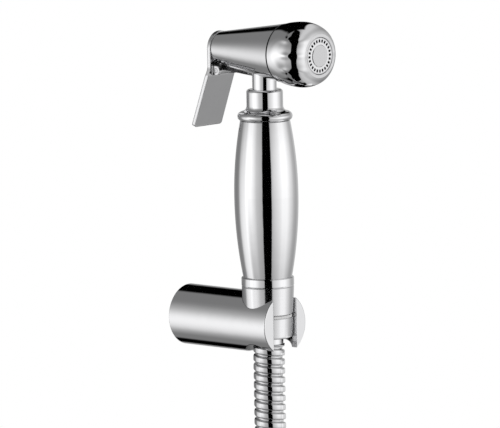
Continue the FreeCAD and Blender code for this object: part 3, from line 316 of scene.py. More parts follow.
class Value:
    """A shader socket that Python's arithmetic works on; each operation adds a Math node."""

    def __init__(self, nodes, socket):
        self.nodes, self.socket = nodes, socket

    def __add__(self, other):
        return self.nodes.math("ADD", self, other)

    def __sub__(self, other):
        return self.nodes.math("SUBTRACT", self, other)

    def __rsub__(self, other):
        return self.nodes.math("SUBTRACT", other, self)

    def __mul__(self, other):
        return self.nodes.math("MULTIPLY", self, other)

    def __truediv__(self, other):
        return self.nodes.math("DIVIDE", self, other)

    def __pow__(self, other):
        return self.nodes.math("POWER", self, other)

    __radd__, __rmul__ = __add__, __mul__


class Nodes:
    """An empty node tree and the few ways of adding to it that the finishes use."""

    def __init__(self, owner):
        owner.use_nodes = True
        self.tree = owner.node_tree
        self.tree.nodes.clear()

    def node(self, kind, settings=None, inputs=None, output=0):
        """Add a node: its settings first, then its sockets' values or links."""
        made = self.tree.nodes.new(kind)
        for name, value in (settings or {}).items():
            if name == "stops":
                self.set_stops(made.color_ramp, value)
            else:
                setattr(made, name, value)
        for name, value in (inputs or {}).items():
            if isinstance(value, Value):
                self.tree.links.new(value.socket, made.inputs[name])
            else:
                made.inputs[name].default_value = value
        return Value(self, made.outputs[output]) if made.outputs else made

    @staticmethod
    def set_stops(ramp, stops):
        """Grey stops of a colour ramp, as (position, level)."""
        ramp.interpolation = "LINEAR"
        while len(ramp.elements) < len(stops):
            ramp.elements.new(1.0)
        for element, (position, level) in zip(ramp.elements, stops):
            element.position = position
            element.color = (level, level, level, 1.0)

    def math(self, operation, *values):
        """A Math node on values and numbers."""
        return self.node("ShaderNodeMath", {"operation": operation}, dict(enumerate(values)))

    def size(self, value):
        """A value without its sign."""
        return self.math("ABSOLUTE", value)

    def length(self, vector):
        """Length of a vector."""
        return self.node("ShaderNodeVectorMath", {"operation": "LENGTH"}, {0: vector},
                         output="Value")

    def dot(self, vector, direction):
        """Dot product with a fixed direction."""
        return self.node("ShaderNodeVectorMath", {"operation": "DOT_PRODUCT"},
                         {0: vector, 1: tuple(direction)}, output="Value")

    def step(self, value, low, high):
        """Smooth step from 0 at low to 1 at high."""
        return self.node("ShaderNodeMapRange", {"interpolation_type": "SMOOTHSTEP"},
                         {"Value": value, "From Min": low, "From Max": high})

    def fall(self, value, low, high):
        """Smooth fall from 1 at low to 0 at high."""
        return 1 - self.step(value, low, high)

    def band(self, value, rise, fall):
        """1 between two smooth edges, each given as the values at which it starts and ends."""
        return self.step(value, *rise) * self.fall(value, *fall)

    def mix(self, factor, first, second):
        """Mix of two colours."""
        return self.node("ShaderNodeMix", {"data_type": "RGBA"},
                         {"Factor": factor, 6: first, 7: second}, output=2)

    def place(self, centre=(0.0, 0.0, 0.0), stretch=(1.0, 1.0, 1.0)):
        """Object coordinates from a centre, stretched along the axes."""
        spot = self.node("ShaderNodeTexCoord", output="Object")
        shift = tuple(-c * s for c, s in zip(centre, stretch))
        return self.node("ShaderNodeMapping", inputs={
            "Vector": spot, "Location": shift, "Scale": stretch})

    def noise(self, place, scale, detail=2.0, roughness=0.5):
        """Noise at a scale, in cells to the metre."""
        return self.node("ShaderNodeTexNoise", inputs={
            "Vector": place, "Scale": scale, "Detail": detail, "Roughness": roughness})

    def smears(self, place):
        """Faint smears that wiping leaves on plating."""
        return self.noise(place, 90.0, 4.0, 0.6)

    def waves(self, place, edge):
        """Normal of buffed brass: slightly wavy, over softened edges."""
        return self.bump(self.noise(place, 160.0, 1.0), 0.00003, edge)

    def bump(self, height, distance, edge=0.0):
        """Normal from a height, over a softened edge where one is asked for."""
        inputs = {"Height": height, "Distance": distance}
        if edge:
            inputs["Normal"] = self.node("ShaderNodeBevel", {"samples": 4}, {"Radius": edge})
        return self.node("ShaderNodeBump", inputs=inputs)

    def surface(self, **sockets):
        """Principled surface as the material's output."""
        shader = self.node("ShaderNodeBsdfPrincipled", inputs={
            name.replace("_", " ").title(): value for name, value in sockets.items()})
        self.node("ShaderNodeOutputMaterial", inputs={"Surface": shader})


def colour(rgb, share=1.0):
    """A colour with alpha, darkened to a share of itself."""
    return (*(channel * share for channel in rgb), 1.0)


def new_finish(name):
    """A material with an empty tree."""
    material = bpy.data.materials.new(name)
    return material, Nodes(material)


# ---- finishes ----

def polished_chrome(look):
    """Mirror plating with faint wiping smears and the slight waviness of buffed brass."""
    material, nodes = new_finish("polished_chrome")
    place = nodes.place(HANDSET)
    smears = nodes.smears(place)
    nodes.surface(
        base_color=nodes.mix(smears, colour(look.chrome, 0.97), colour(look.chrome)),
        metallic=1.0,
        roughness=0.012 + 0.035 * smears,
        normal=nodes.waves(place, edge=0.00025),
    )
    return material


def cap_chrome(look):
    """Mirror plating on the pressed cap, whose skin swells and ripples on its way to the face."""
    material, nodes = new_finish("cap_chrome")
    smears = nodes.smears(nodes.place(HEAD))
    spot = nodes.place()
    ahead = BARREL_FRONT - nodes.dot(spot, BACKWARD)
    rise = nodes.dot(spot, UP) - HEAD.z

    # The skin leans in evenly, and more and more ahead of the cap's widest part.
    widest, lean, more = 0.0107, 0.22, 14.0
    swell = 0 - ahead * lean - (nodes.math("MAXIMUM", ahead - widest, 0.0) ** 2) * more

    # The ripple runs along both sides of a bowed line, and its beats lie one above another.
    line, bow, first_beat, beat_height = 0.0161, 20.0, 0.0008, 0.0068
    reach, shorter_ahead, crest, trough = 0.0036, 0.0010, 70.0, 12.0
    beat = nodes.math("COSINE", (rise - first_beat) * (2 * math.pi / beat_height)) * 0.5 + 0.5
    off = ahead - line + (rise ** 2) * bow
    fade = off / (reach - shorter_ahead * nodes.step(off, 0.0, 0.0006))
    wave = (off ** 2) * nodes.math("EXPONENT", 0 - fade ** 2)
    ripple = ((beat ** 3) * crest - trough) * wave

    face = nodes.step(ahead, 0.0192, 0.0207)
    seam = nodes.fall(ahead, 0.0003, 0.0007)
    plated = nodes.mix(face, colour(look.chrome, 0.98), colour(look.chrome, 0.76))
    nodes.surface(
        base_color=nodes.mix(seam, plated, colour(look.chrome, 0.1)),
        metallic=1.0,
        roughness=0.015 + 0.03 * smears + 0.05 * face,
        normal=nodes.bump(swell + ripple, 1.0, edge=0.0002),
    )
    return material


def plate_chrome(look):
    """Plating on the spray plate, bright round its slots and duller on the centre disc."""
    material, nodes = new_finish("plate_chrome")
    radius = nodes.length(nodes.place(HEAD, FLAT))
    centre = nodes.fall(radius, 0.00465, 0.0049)
    rim = nodes.step(radius, 0.0076, 0.0078)
    dull = nodes.math("MAXIMUM", centre, rim)
    ring = nodes.node("ShaderNodeCombineXYZ", inputs={"Z": radius})
    turned = nodes.noise(ring, 3500.0, 3.0, 0.7)
    nodes.surface(
        base_color=nodes.mix(dull, colour(look.chrome, 0.99), colour(look.chrome, 0.78)),
        metallic=1.0,
        roughness=0.10 + 0.05 * turned,
        normal=nodes.bump(turned, 0.000006, edge=0.00015),
    )
    return material


def barrel_chrome(look):
    """Mirror plating on the head's casting, dark in its seam, with painted shade on the keel and in its crease against
    the barrel; the keel is also rougher.
    """
    material, nodes = new_finish("barrel_chrome")
    place = nodes.place(HEAD)
    smears = nodes.smears(place)
    along = nodes.dot(nodes.place(), BACKWARD)
    seam = nodes.step(BARREL_FRONT - along, -0.0005, -0.0002)

    # What stands proud of the tapered barrel behind the neck is the keel.
    rear_radius, taper, neck_rear = 0.0074, 0.147, -0.0400
    off_axis = nodes.length(nodes.place(HEAD, FLAT))
    proud = off_axis - rear_radius + (along - BARREL_REAR) * taper
    keel = nodes.step(along, neck_rear, neck_rear + 0.0005) * nodes.step(proud, 0.0, 0.0001)
    # Painted shade: the crease along the keel's top, where it meets the barrel, is painted almost black.
    crease_shade_mask = keel * nodes.fall(proud, 0.0012, 0.0026)
    # Painted shade: the keel's colour is darker than the barrel's; its greater roughness is the casting's duller
    # finish.
    keel_shaded_colour = nodes.mix(keel, colour(look.chrome, 0.98), colour(look.chrome, 0.7))
    dark = nodes.math("MAXIMUM", seam, 0.9 * crease_shade_mask)
    nodes.surface(
        base_color=nodes.mix(dark, keel_shaded_colour, colour(look.chrome, 0.08)),
        metallic=1.0,
        roughness=0.02 + 0.04 * smears + 0.2 * keel,
        normal=nodes.waves(place, edge=0.00015),
    )
    return material


def holder_chrome(look):
    """Mirror plating on the holder, with painted shade inside its seat and dull on its slot's sawn faces."""
    material, nodes = new_finish("holder_chrome")
    place = nodes.place()
    smears = nodes.smears(place)
    beside = nodes.size(nodes.dot(place, ACROSS))
    behind = nodes.dot(place, BACKWARD) - ARM_FRONT
    below = 0 - nodes.dot(place, UP)

    # The slot's faces, just behind the arm's front.
    slot_half, sawn_depth = 0.0080, 0.0030
    sawn = (nodes.fall(beside, slot_half - 0.0002, slot_half)
            * nodes.fall(behind, sawn_depth - 0.0002, sawn_depth))

    # Painted shade in the lower part of the seat: below the arm's axis, under its skin and behind its front.
    off_axis = nodes.length(nodes.place(stretch=FLAT))
    under_skin = nodes.fall(off_axis, ARM_RADIUS - 0.0004, ARM_RADIUS - 0.0002)
    lower = nodes.step(below, 0.004, 0.007)
    inside = under_skin * lower * nodes.step(behind, 0.0002, 0.0005) * (1 - sawn)
    # Painted shade: the seat's lower wall takes a much darker colour, and a higher roughness.
    nodes.surface(
        base_color=nodes.mix(inside, colour(look.chrome, 0.98), colour(look.chrome, 0.22)),
        metallic=1.0,
        roughness=0.012 + 0.035 * smears + 0.2 * inside + 0.28 * sawn,
        normal=nodes.waves(place, edge=0.00025),
    )
    return material


def lever_chrome(look):
    """Plating on the stamped lever, with rolled edges."""
    material, nodes = new_finish("lever_chrome")
    place = nodes.place(HEAD)
    smears = nodes.noise(place, 140.0, 4.0, 0.6)
    grain = nodes.noise(place, 2200.0, 2.0, 0.6)
    nodes.surface(
        base_color=nodes.mix(smears, colour(look.chrome, 0.93), colour(look.chrome)),
        metallic=1.0,
        roughness=0.05 + 0.06 * smears,
        normal=nodes.bump(grain, 0.000004, edge=0.0009),
    )
    return material


def satin_chrome(look):
    """Plating over fine turning lines that run round the upright piece."""
    material, nodes = new_finish("satin_chrome")
    lines = nodes.noise(nodes.place(HANDSET, (0.03, 0.03, 1.0)), 3500.0, 3.0, 0.7)
    cloud = nodes.noise(nodes.place(HANDSET), 120.0, 3.0)
    nodes.surface(
        base_color=nodes.mix(lines, colour(look.chrome, 0.92), colour(look.chrome)),
        metallic=1.0,
        roughness=0.07 + 0.06 * cloud,
        normal=nodes.bump(lines, 0.000006, edge=0.0002),
    )
    return material


def hose_steel(look):
    """Polished strip, with painted shade and a rougher surface only where a crest meets its groove."""
    material, nodes = new_finish("hose_steel")
    crease_shade_mask = nodes.node("ShaderNodeAttribute", {"attribute_name": "grime"}, output="Fac")
    smear = nodes.noise(nodes.place(), 700.0, 4.0, 0.65)
    # Painted shade: the base colour darkens where the crest meets its groove, and the roughness rises there too.
    dull = nodes.step(crease_shade_mask, 0.25, 1.0) * (0.6 + 0.4 * smear)
    nodes.surface(
        base_color=nodes.mix(dull, colour(look.chrome, 0.84), colour(look.chrome, 0.55)),
        metallic=1.0,
        roughness=0.02 + 0.03 * smear + 0.20 * dull,
        normal=nodes.bump(smear, 0.000005),
    )
    return material


def turned_metal(tint, dark, rough, lying=False):
    """A finish maker for bare metal turned on a lathe, upright or lying front to back."""
    def maker(look):
        material, nodes = new_finish(tint + ("_lying" if lying else ""))
        base = getattr(look, tint)
        stretch = (1.0, 0.04, 1.0) if lying else (0.04, 0.04, 1.0)
        marks = nodes.noise(nodes.place(HEAD if lying else HANDSET, stretch), 2600.0, 3.0, 0.6)
        stain = nodes.noise(nodes.place(), 160.0, 4.0, 0.6)
        nodes.surface(
            base_color=nodes.mix(stain, colour(base), colour(base, dark)),
            metallic=1.0,
            roughness=rough + 0.12 * stain,
            normal=nodes.bump(marks, 0.00001, edge=0.00015),
        )
        return material
    return maker


def rubber(look):
    """Matt black rubber with a fine moulded grain."""
    material, nodes = new_finish("rubber")
    grain = nodes.noise(nodes.place(), 3000.0, 3.0, 0.6)
    bloom = nodes.noise(nodes.place(), 250.0, 3.0)
    nodes.surface(
        base_color=nodes.mix(bloom, colour(look.rubber), colour(look.rubber, 1.6)),
        metallic=0.0,
        roughness=0.55 + 0.25 * bloom,
        normal=nodes.bump(grain, 0.00002),
    )
    return material


def plastic(look):
    """Pale moulded plastic with a soft sheen."""
    material, nodes = new_finish("plastic")
    grain = nodes.noise(nodes.place(), 1800.0, 3.0, 0.55)
    cloud = nodes.noise(nodes.place(), 110.0, 2.0)
    nodes.surface(
        base_color=nodes.mix(cloud, colour(look.plastic, 0.93), colour(look.plastic)),
        metallic=0.0,
        roughness=0.34 + 0.14 * cloud,
        normal=nodes.bump(grain, 0.000015, edge=0.0003),
    )
    return material


BRASS, STEEL = ("brass", 0.78, 0.18), ("steel", 0.88, 0.16)
FINISHES = {
    "polished_chrome": polished_chrome,
    "satin_chrome": satin_chrome,
    "hose_steel": hose_steel,
    "brass": turned_metal(*BRASS),
    "steel": turned_metal(*STEEL),
    "rubber": rubber,
    "plastic": plastic,
}
# Nodes with a finish of their own, in place of their slot's.
OWN_FINISHES = {
    "holder_arm": holder_chrome,
    "head_body": barrel_chrome,
    "nozzle_cap": cap_chrome,
    "spray_plate": plate_chrome,
    "lever": lever_chrome,
    **dict.fromkeys(("wall_boss", "gland_nut", "valve_seat", "valve_stem", "poppet_nut"),
                    turned_metal(*BRASS, lying=True)),
    **dict.fromkeys(("hinge_pin", "valve_spring"), turned_metal(*STEEL, lying=True)),
}
MADE = {}


def finish_of(slot, node=None):
    """The material of a slot or of one node, made when it is first asked for."""
    maker = OWN_FINISHES.get(node, FINISHES[slot])
    if maker not in MADE:
        MADE[maker] = maker(bpy.context.scene.sprayer_finish)
    return MADE[maker]


def dress(slot):
    """Give every CAD node of a slot its finish."""
    found = [part["node"] for part in frame["record"]["subparts"] if part["material_slot"] == slot]
    if not found:
        raise RuntimeError(f"no piece has the finish {slot}")
    for node in found:
        mesh = frame["nodes"][node].data
        mesh.materials.clear()
        mesh.materials.append(finish_of(slot, node))


# ---- pieces ----

def add_object(name, data):
    """A new object in the scene."""
    added = bpy.data.objects.new(name, data)
    bpy.context.scene.collection.objects.link(added)
    return added


def mesh_object(name, bm, smooth=False):
    """A new object from a bmesh, which is used up."""
    for face in bm.faces:
        face.smooth = smooth
    mesh = bpy.data.meshes.new(name)
    bm.to_mesh(mesh)
    bm.free()
    return add_object(name, mesh)


def new_piece(name, bm, slot, body):
    """A smooth, finished piece from a bmesh, riding on a body."""
    piece = mesh_object(name, bm, smooth=True)
    piece.data.materials.append(finish_of(slot))
    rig.slot(piece, slot)
    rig.ride(piece, body)
    return piece


def hose_controls(hose):
    """Control points of the hose: the listed route, then the turns of the coil, then the tail."""
    points = [Vector(point) for point in HOSE_ROUTE]
    step = 2 * math.pi / hose.coil_points
    reach = hose.coil_radius / math.cos(step / 2)
    sweep = hose.coil_start + 2 * math.pi * hose.coil_turns
    count = round(sweep / step)
    start_y = points[-1].y
    for index in range(count):
        turned = (index + 0.5) * sweep / count
        angle = hose.coil_start - turned
        points.append(Vector((
            COIL.x + reach * math.cos(angle),
            start_y + (TAIL.y - start_y) * turned / sweep,
            COIL.z + reach * math.sin(angle),
        )))
    points.append(Vector((TAIL.x, TAIL.y, 0.8 * COIL.z + 0.2 * TAIL_END)))
    points.append(Vector((TAIL.x, TAIL.y, TAIL_END)))
    return points


def smooth_line(controls):
    """Points along the NURBS spline that the control points give."""
    curve = bpy.data.curves.new("hose_line", "CURVE")
    curve.dimensions = "3D"
    curve.resolution_u = 24
    spline = curve.splines.new("NURBS")
    spline.points.add(len(controls) - 1)
    for point, place in zip(spline.points, controls):
        point.co = (*place, 1.0)
    spline.order_u = 3
    spline.use_endpoint_u = True
    line = bpy.data.objects.new("hose_line", curve)
    mesh = bpy.data.meshes.new_from_object(line)
    points = [vertex.co.copy() for vertex in mesh.vertices]
    bpy.data.meshes.remove(mesh)
    bpy.data.objects.remove(line)
    bpy.data.curves.remove(curve)
    return points


class Route:
    """A line with a frame that follows it without twisting."""

    def __init__(self, points):
        self.points = points
        self.reach = [0.0]
        for before, after in zip(points, points[1:]):
            self.reach.append(self.reach[-1] + (after - before).length)
        heading = [(after - before).normalized() for before, after in zip(points, points[1:])]
        heading.append(heading[-1])
        self.frames = [Vector((0, 0, 1)).rotation_difference(heading[0])]
        for before, after in zip(heading, heading[1:]):
            self.frames.append(before.rotation_difference(after) @ self.frames[-1])
        self.index = 0

    @property
    def length(self):
        """Length of the whole line."""
        return self.reach[-1]

    def place(self, along, across):
        """Where a point lies that is across the line at a length along it."""
        last = len(self.points) - 2
        while self.index < last and self.reach[self.index + 1] < along:
            self.index += 1
        while self.index > 0 and self.reach[self.index] > along:
            self.index -= 1
        start, end = self.reach[self.index], self.reach[self.index + 1]
        share = min(max((along - start) / (end - start), 0.0), 1.0)
        centre = self.points[self.index].lerp(self.points[self.index + 1], share)
        return centre + self.frames[self.index].slerp(self.frames[self.index + 1], share) @ across


def strip_outline(hose):
    """Radius, height and weight of the painted shade over one pitch of the strip: a flat groove, then a flat crest."""
    root = hose.radius - hose.depth
    foot = hose.pitch * (1 - hose.crest)
    corner = hose.corner
    # The third number weighs the painted shade: full at the groove's edges, none at its middle, weaker on the crest's
    # rounded corners and none on its top.
    outline = [(root, 0.0, 1.0), (root, foot / 2, 0.0), (root, foot, 1.0)]
    rising = (0.0, 40.0, 90.0)
    for angles, edge, inward in ((rising, foot, corner), (rising[::-1], hose.pitch, -corner)):
        for turn in map(math.radians, angles):
            outline.append((hose.radius - corner + corner * math.sin(turn),
                            edge + inward * (1 - math.cos(turn)), 0.3 * math.cos(turn)))
    return outline


def wound_strip(hose, length):
    """The strip wound straight up from the origin, cut square and closed at both ends."""
    bm = bmesh.new()
    # Weight of the painted shade at each point of the strip.
    grime = bm.verts.layers.float.new("grime")
    outline = strip_outline(hose)
    outline.append((outline[0][0], hose.pitch, outline[0][2]))
    line = []
    for radius, height, crease_shade_weight in outline:
        line.append(bm.verts.new((radius, 0, height - hose.pitch)))
        line[-1][grime] = crease_shade_weight
    edges = [bm.edges.new(pair) for pair in zip(line, line[1:])]
    bmesh.ops.spin(bm, geom=line + edges, cent=(0, 0, 0), axis=(0, 0, -1), angle=2 * math.pi,
                   dvec=(0, 0, hose.pitch / hose.sides), steps=hose.sides, use_merge=False)
    turns = 1
    while (turns - 2) * hose.pitch < length:
        copied = bmesh.ops.duplicate(bm, geom=bm.verts[:] + bm.edges[:] + bm.faces[:])["geom"]
        moved = [item for item in copied if isinstance(item, bmesh.types.BMVert)]
        bmesh.ops.translate(bm, verts=moved, vec=(0, 0, turns * hose.pitch))
        turns *= 2
    weld = hose.pitch / 400
    bmesh.ops.remove_doubles(bm, verts=bm.verts, dist=weld)
    bmesh.ops.recalc_face_normals(bm, faces=bm.faces)
    for height, outward in ((0.0, -1), (length, 1)):
        bmesh.ops.bisect_plane(bm, geom=bm.verts[:] + bm.edges[:] + bm.faces[:], dist=weld / 100,
                               plane_co=(0, 0, height), plane_no=(0, 0, outward), clear_outer=True)
        rim = [edge for edge in bm.edges if edge.is_boundary
               and all(abs(vertex.co.z - height) < weld / 10 for vertex in edge.verts)]
        bmesh.ops.triangle_fill(bm, use_beauty=True, edges=rim, normal=(0, 0, outward))
    loose = [vertex for vertex in bm.verts if not vertex.link_faces]
    bmesh.ops.delete(bm, geom=loose, context="VERTS")
    return bm


def make_hose(hose):
    """The wound strip laid along its route."""
    route = Route(smooth_line(hose_controls(hose)))
    bm = wound_strip(hose, route.length)
    phase = Matrix.Rotation(hose.phase, 3, "Z")
    for vertex in bm.verts:
        across = phase @ Vector((vertex.co.x, vertex.co.y, 0.0))
        vertex.co = route.place(vertex.co.z, across)
    piece = new_piece("metal_hose", bm, "hose_steel", "hose")
    flatter = piece.modifiers.new("flat crests", "WEIGHTED_NORMAL")
    flatter.weight = 50
    flatter.thresh = 0.0
    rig.replaces(piece, "hose_run", "hose_coil", "hose_tail")
    return piece, route


def make_tie(tie):
    """A strap round the coil's turns, with rounded corners."""
    low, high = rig.box("hose_coil")
    hose = bpy.context.scene.sprayer_hose
    gap, edge_radius = 0.0002, 0.0003
    inner = hose.coil_radius - hose.radius - gap
    outer = hose.coil_radius + hose.radius + gap
    bm = bmesh.new()
    corners = [bm.verts.new((inner, y, -tie.width / 2)) for y in (low.y - gap, high.y + gap)]
    corners += [bm.verts.new((outer, y, -tie.width / 2)) for y in (high.y + gap, low.y - gap)]
    for before, after in zip(corners, corners[1:] + corners[:1]):
        bm.edges.new((before, after))
    bmesh.ops.bevel(bm, geom=corners, offset=tie.corner, offset_type="OFFSET", segments=6,
                    profile=0.5, affect="VERTICES", material=-1)
    raised = bmesh.ops.extrude_edge_only(bm, edges=bm.edges[:])
    moved = [item for item in raised["geom"] if isinstance(item, bmesh.types.BMVert)]
    bmesh.ops.translate(bm, verts=moved, vec=(0, 0, tie.width))
    bmesh.ops.recalc_face_normals(bm, faces=bm.faces)
    bmesh.ops.solidify(bm, geom=bm.faces[:], thickness=-tie.thickness)
    bmesh.ops.recalc_face_normals(bm, faces=bm.faces)
    sharp = [edge for edge in bm.edges if edge.calc_face_angle(0.0) > math.radians(50)]
    bmesh.ops.bevel(bm, geom=sharp, offset=edge_radius, offset_type="OFFSET", segments=2,
                    profile=0.5, affect="EDGES", material=-1)
    tied = middle("hose_tie") - COIL
    turn = Matrix.Rotation(-math.atan2(tied.z, tied.x), 4, "Y")
    bmesh.ops.transform(bm, verts=bm.verts, matrix=Matrix.Translation((COIL.x, 0, COIL.z)) @ turn)
    piece = new_piece("coil_tie", bm, "plastic", "hose")
    piece.data.set_sharp_from_angle(angle=math.radians(40))
    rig.replaces(piece, "hose_tie")
    return piece


# ---- stage ----

def camera_axes(studio):
    """Right, up and back of the camera as unit vectors, and the level right and back."""
    back = Vector((math.sin(studio.azimuth) * math.cos(studio.elevation),
                   -math.cos(studio.azimuth) * math.cos(studio.elevation),
                   math.sin(studio.elevation)))
    level_right = Vector((math.cos(studio.azimuth), math.sin(studio.azimuth), 0.0))
    level_up = back.cross(level_right)
    lean = math.cos(studio.roll), math.sin(studio.roll)
    return SimpleNamespace(
        right=level_right * lean[0] - level_up * lean[1],
        up=level_up * lean[0] + level_right * lean[1],
        back=back,
        level_right=level_right,
        level_back=Vector((back.x, back.y, 0.0)).normalized(),
    )


def make_camera(studio):
    """Long lens, level with the handset and a little above it."""
    axes = camera_axes(studio)
    holder = Vector((HANDSET.x, HANDSET.y, 0.0))
    aim = holder + axes.right * studio.aim_right + axes.up * studio.aim_up
    data = bpy.data.cameras.new("camera")
    data.lens = studio.lens
    data.sensor_width = 36.0
    data.clip_end = 50.0
    camera = add_object("camera", data)
    turn = Matrix((axes.right, axes.up, axes.back)).transposed().to_4x4()
    camera.matrix_world = Matrix.Translation(aim + axes.back * studio.distance) @ turn
    bpy.context.scene.camera = camera


def make_world(studio):
    """Soft boxes left and right of the camera, grey above and below, and the dark gap between them.

    Plating shows these surroundings, matt pieces an even fill, and the camera plain white.
    """
    axes = camera_axes(studio)
    world = bpy.data.worlds.new("studio")
    bpy.context.scene.world = world
    nodes = Nodes(world)
    view = nodes.node("ShaderNodeTexCoord", output="Generated")
    side = nodes.dot(view, axes.level_right)
    front = nodes.dot(view, axes.level_back)
    height = nodes.math("ARCSINE", nodes.dot(view, UP))
    bearing = nodes.math("ARCTAN2", side, front) / (2 * math.pi) + 0.5
    boxes = nodes.node("ShaderNodeValToRGB", {"stops": SURROUNDINGS}, {0: bearing})

    # The boxes fade into grey over a height that depends on the bearing.
    grey, level_spread = 0.18, 0.41
    box_height = -0.24 * nodes.fall(bearing, 0.25, 0.31)
    left_box = nodes.band(bearing, (0.20, 0.25), (0.27, 0.32))
    facing_floor = (nodes.band(bearing, (0.33, 0.40), (0.70, 0.84))
                    * nodes.step(0 - height, 0.12, 0.25))
    spread = level_spread + 0.13 * left_box + 0.14 * facing_floor
    ease = nodes.math("EXPONENT", 0 - ((height - box_height) / spread) ** 2)
    to_right = nodes.step(side, 0.10, 0.45)
    above_right = 0.40 * nodes.step(height, 0.35, 0.85) * to_right
    below_right = 0.30 * nodes.step(0 - height, 0.55, 0.85) * to_right
    level = grey + (boxes - grey) * ease + above_right + below_right

    # The gap is dark from floor to ceiling, and widest there.
    gap_bearing = 0.506
    flare = 0.10 * nodes.step(nodes.size(height), 0.8, 1.4)
    gap = nodes.fall(nodes.size(bearing - gap_bearing) - flare, 0.043, 0.050)

    # A black flag stands behind the object, above and below its level.
    behind = nodes.step(0 - front, -0.10, -0.02)
    flag = behind * nodes.fall(nodes.size(side), 0.36, 0.46)
    beyond_level = nodes.step(nodes.size(height + 0.12), 0.35, 0.5)
    dark = nodes.math("MAXIMUM", gap, flag * beyond_level)
    shown = level * (1 - dark) * studio.glow

    camera_ray = nodes.node("ShaderNodeLightPath", output="Is Camera Ray")
    glossy_ray = nodes.node("ShaderNodeLightPath", output="Is Glossy Ray")
    other = glossy_ray * shown + (1 - glossy_ray) * studio.fill
    strength = camera_ray + (1 - camera_ray) * other
    light = nodes.node("ShaderNodeBackground", inputs={
        "Color": (1, 1, 1, 1), "Strength": strength})
    nodes.node("ShaderNodeOutputWorld", inputs={"Surface": light})


def make_floor():
    """Pale round floor that fades out at its rim."""
    gap, radius = 0.001, 0.6
    bm = bmesh.new()
    bmesh.ops.create_circle(bm, cap_ends=True, segments=64, radius=radius)
    centre = Vector((HANDSET.x, HANDSET.y, CAD_BOX[0].z - gap))
    bmesh.ops.translate(bm, verts=bm.verts, vec=centre)
    floor = mesh_object("floor", bm)
    floor.visible_glossy = False
    material, nodes = new_finish("floor")
    place = nodes.place(centre)
    grain = nodes.noise(place, 40.0, 3.0)
    nodes.surface(
        base_color=nodes.mix(grain, (0.88, 0.88, 0.88, 1), (0.91, 0.91, 0.91, 1)),
        roughness=0.8,
        alpha=nodes.fall(nodes.length(place), 0.3, 0.58),
    )
    floor.data.materials.append(material)
    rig.stage(floor)


def add_lamp(name, size, power, aim, away):
    """An oblong lamp that shines on a point from a distance and direction."""
    data = bpy.data.lights.new(name, "AREA")
    data.shape = "RECTANGLE"
    data.size, data.size_y = size
    data.energy = power
    lamp = add_object(name, data)
    turn = away.to_track_quat("Z", "Y").to_matrix().to_4x4()
    lamp.matrix_world = Matrix.Translation(aim + away) @ turn
    return lamp


def make_lamps(studio):
    """A wide lamp overhead that the plating doesn't show, and a low one beside the hose."""
    axes = camera_axes(studio)
    above = Vector((0, 0, 0.9)) + axes.back * 0.5 - axes.level_right * 0.4
    overhead = add_lamp("overhead", (0.9, 0.9), studio.lamp, HANDSET, above)
    overhead.visible_glossy = False
    seen_hose = Vector(HOSE_ROUTE[1]) - Vector((0, 0, 0.044))
    beside = (axes.level_right * 0.85 - axes.level_back * 0.53) * 0.12
    add_lamp("side", (0.13, 0.10), studio.side_lamp, seen_hose, beside)


# ---- operators ----

class SPRAYER_OT_stage(bpy.types.Operator):
    """Camera, studio light and floor"""

    bl_idname = "sprayer.stage"
    bl_label = "Studio"

    def execute(self, context):
        studio = context.scene.sprayer_studio
        context.scene.view_settings.view_transform = "Standard"
        make_camera(studio)
        make_world(studio)
        make_floor()
        make_lamps(studio)
        return {"FINISHED"}


class SPRAYER_OT_hose(bpy.types.Operator):
    """Metal hose from the ferrule to its coil and hanging end, with the strap that ties it"""

    bl_idname = "sprayer.hose"
    bl_label = "Metal Hose"

    def execute(self, context):
        settings = context.scene.sprayer_hose
        hose, route = make_hose(settings)
        tie = make_tie(context.scene.sprayer_tie)
        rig.cord(hose, exit=HOSE_ROUTE[0], length=settings.length, diameter=2 * settings.radius,
                far_end="fitting", stiffness="medium", lay="hanging", path=route.points,
                with_pieces=[tie, "tail_ferrule", "tail_nut", "tail_washer"])
        return {"FINISHED"}


class SPRAYER_OT_chrome(bpy.types.Operator):
    """Polished plating on the holder, handle, head, lever and nuts"""

    bl_idname = "sprayer.chrome"
    bl_label = "Polished Chrome"

    def execute(self, context):
        dress("polished_chrome")
        return {"FINISHED"}


class SPRAYER_OT_satin(bpy.types.Operator):
    """Satin plating with turning lines on the tapered nut, its sleeve and the spray face"""

    bl_idname = "sprayer.satin"
    bl_label = "Satin Chrome"

    def execute(self, context):
        dress("satin_chrome")
        return {"FINISHED"}


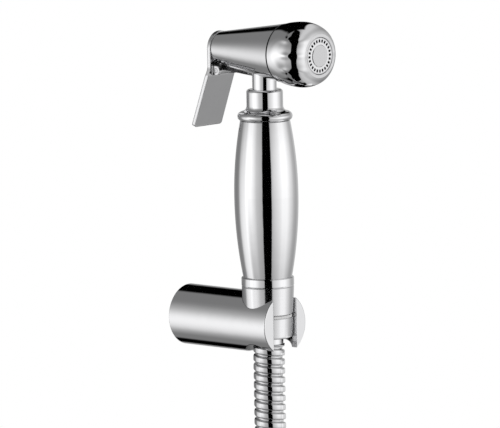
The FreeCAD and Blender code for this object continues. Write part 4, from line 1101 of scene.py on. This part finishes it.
class SPRAYER_OT_bare_metal(bpy.types.Operator):
    """Brass and steel of the pieces inside"""

    bl_idname = "sprayer.bare_metal"
    bl_label = "Brass and Steel"

    def execute(self, context):
        dress("brass")
        dress("steel")
        return {"FINISHED"}


class SPRAYER_OT_soft(bpy.types.Operator):
    """Rubber seals and plastic rings"""

    bl_idname = "sprayer.soft"
    bl_label = "Rubber and Plastic"

    def execute(self, context):
        dress("rubber")
        dress("plastic")
        return {"FINISHED"}


STEPS = (
    SPRAYER_OT_stage,
    SPRAYER_OT_hose,
    SPRAYER_OT_chrome,
    SPRAYER_OT_satin,
    SPRAYER_OT_bare_metal,
    SPRAYER_OT_soft,
)


class SPRAYER_PT_panel(bpy.types.Panel):
    """The sprayer's steps in the sidebar"""

    bl_idname = "SPRAYER_PT_panel"
    bl_label = "Bath Sprayer"
    bl_space_type = "VIEW_3D"
    bl_region_type = "UI"
    bl_category = "Sprayer"

    def draw(self, context):
        for step in STEPS:
            self.layout.operator(step.bl_idname)


GROUPS = {
    "sprayer_hose": HoseSettings,
    "sprayer_tie": TieSettings,
    "sprayer_finish": FinishSettings,
    "sprayer_studio": StudioSettings,
}


def register():
    """Add the settings, operators and panel."""
    for name, group in GROUPS.items():
        bpy.utils.register_class(group)
        setattr(bpy.types.Scene, name, PointerProperty(type=group))
    for item in (*STEPS, SPRAYER_PT_panel):
        bpy.utils.register_class(item)


def unregister():
    """Take them away again."""
    for item in (SPRAYER_PT_panel, *reversed(STEPS)):
        bpy.utils.unregister_class(item)
    for name, group in GROUPS.items():
        delattr(bpy.types.Scene, name)
        bpy.utils.unregister_class(group)


def main():
    """Build everything and note the box before and after."""
    register()
    bpy.ops.sprayer.stage()
    bpy.ops.sprayer.hose()
    bpy.ops.sprayer.chrome()
    bpy.ops.sprayer.satin()
    bpy.ops.sprayer.bare_metal()
    bpy.ops.sprayer.soft()
    boxes = {"cad": CAD_BOX, "visual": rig.bounds()}
    with open("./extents.json", "w") as out:
        json.dump({name: [list(corner) for corner in box] for name, box in boxes.items()}, out)


if __name__ == "__main__":
    main()
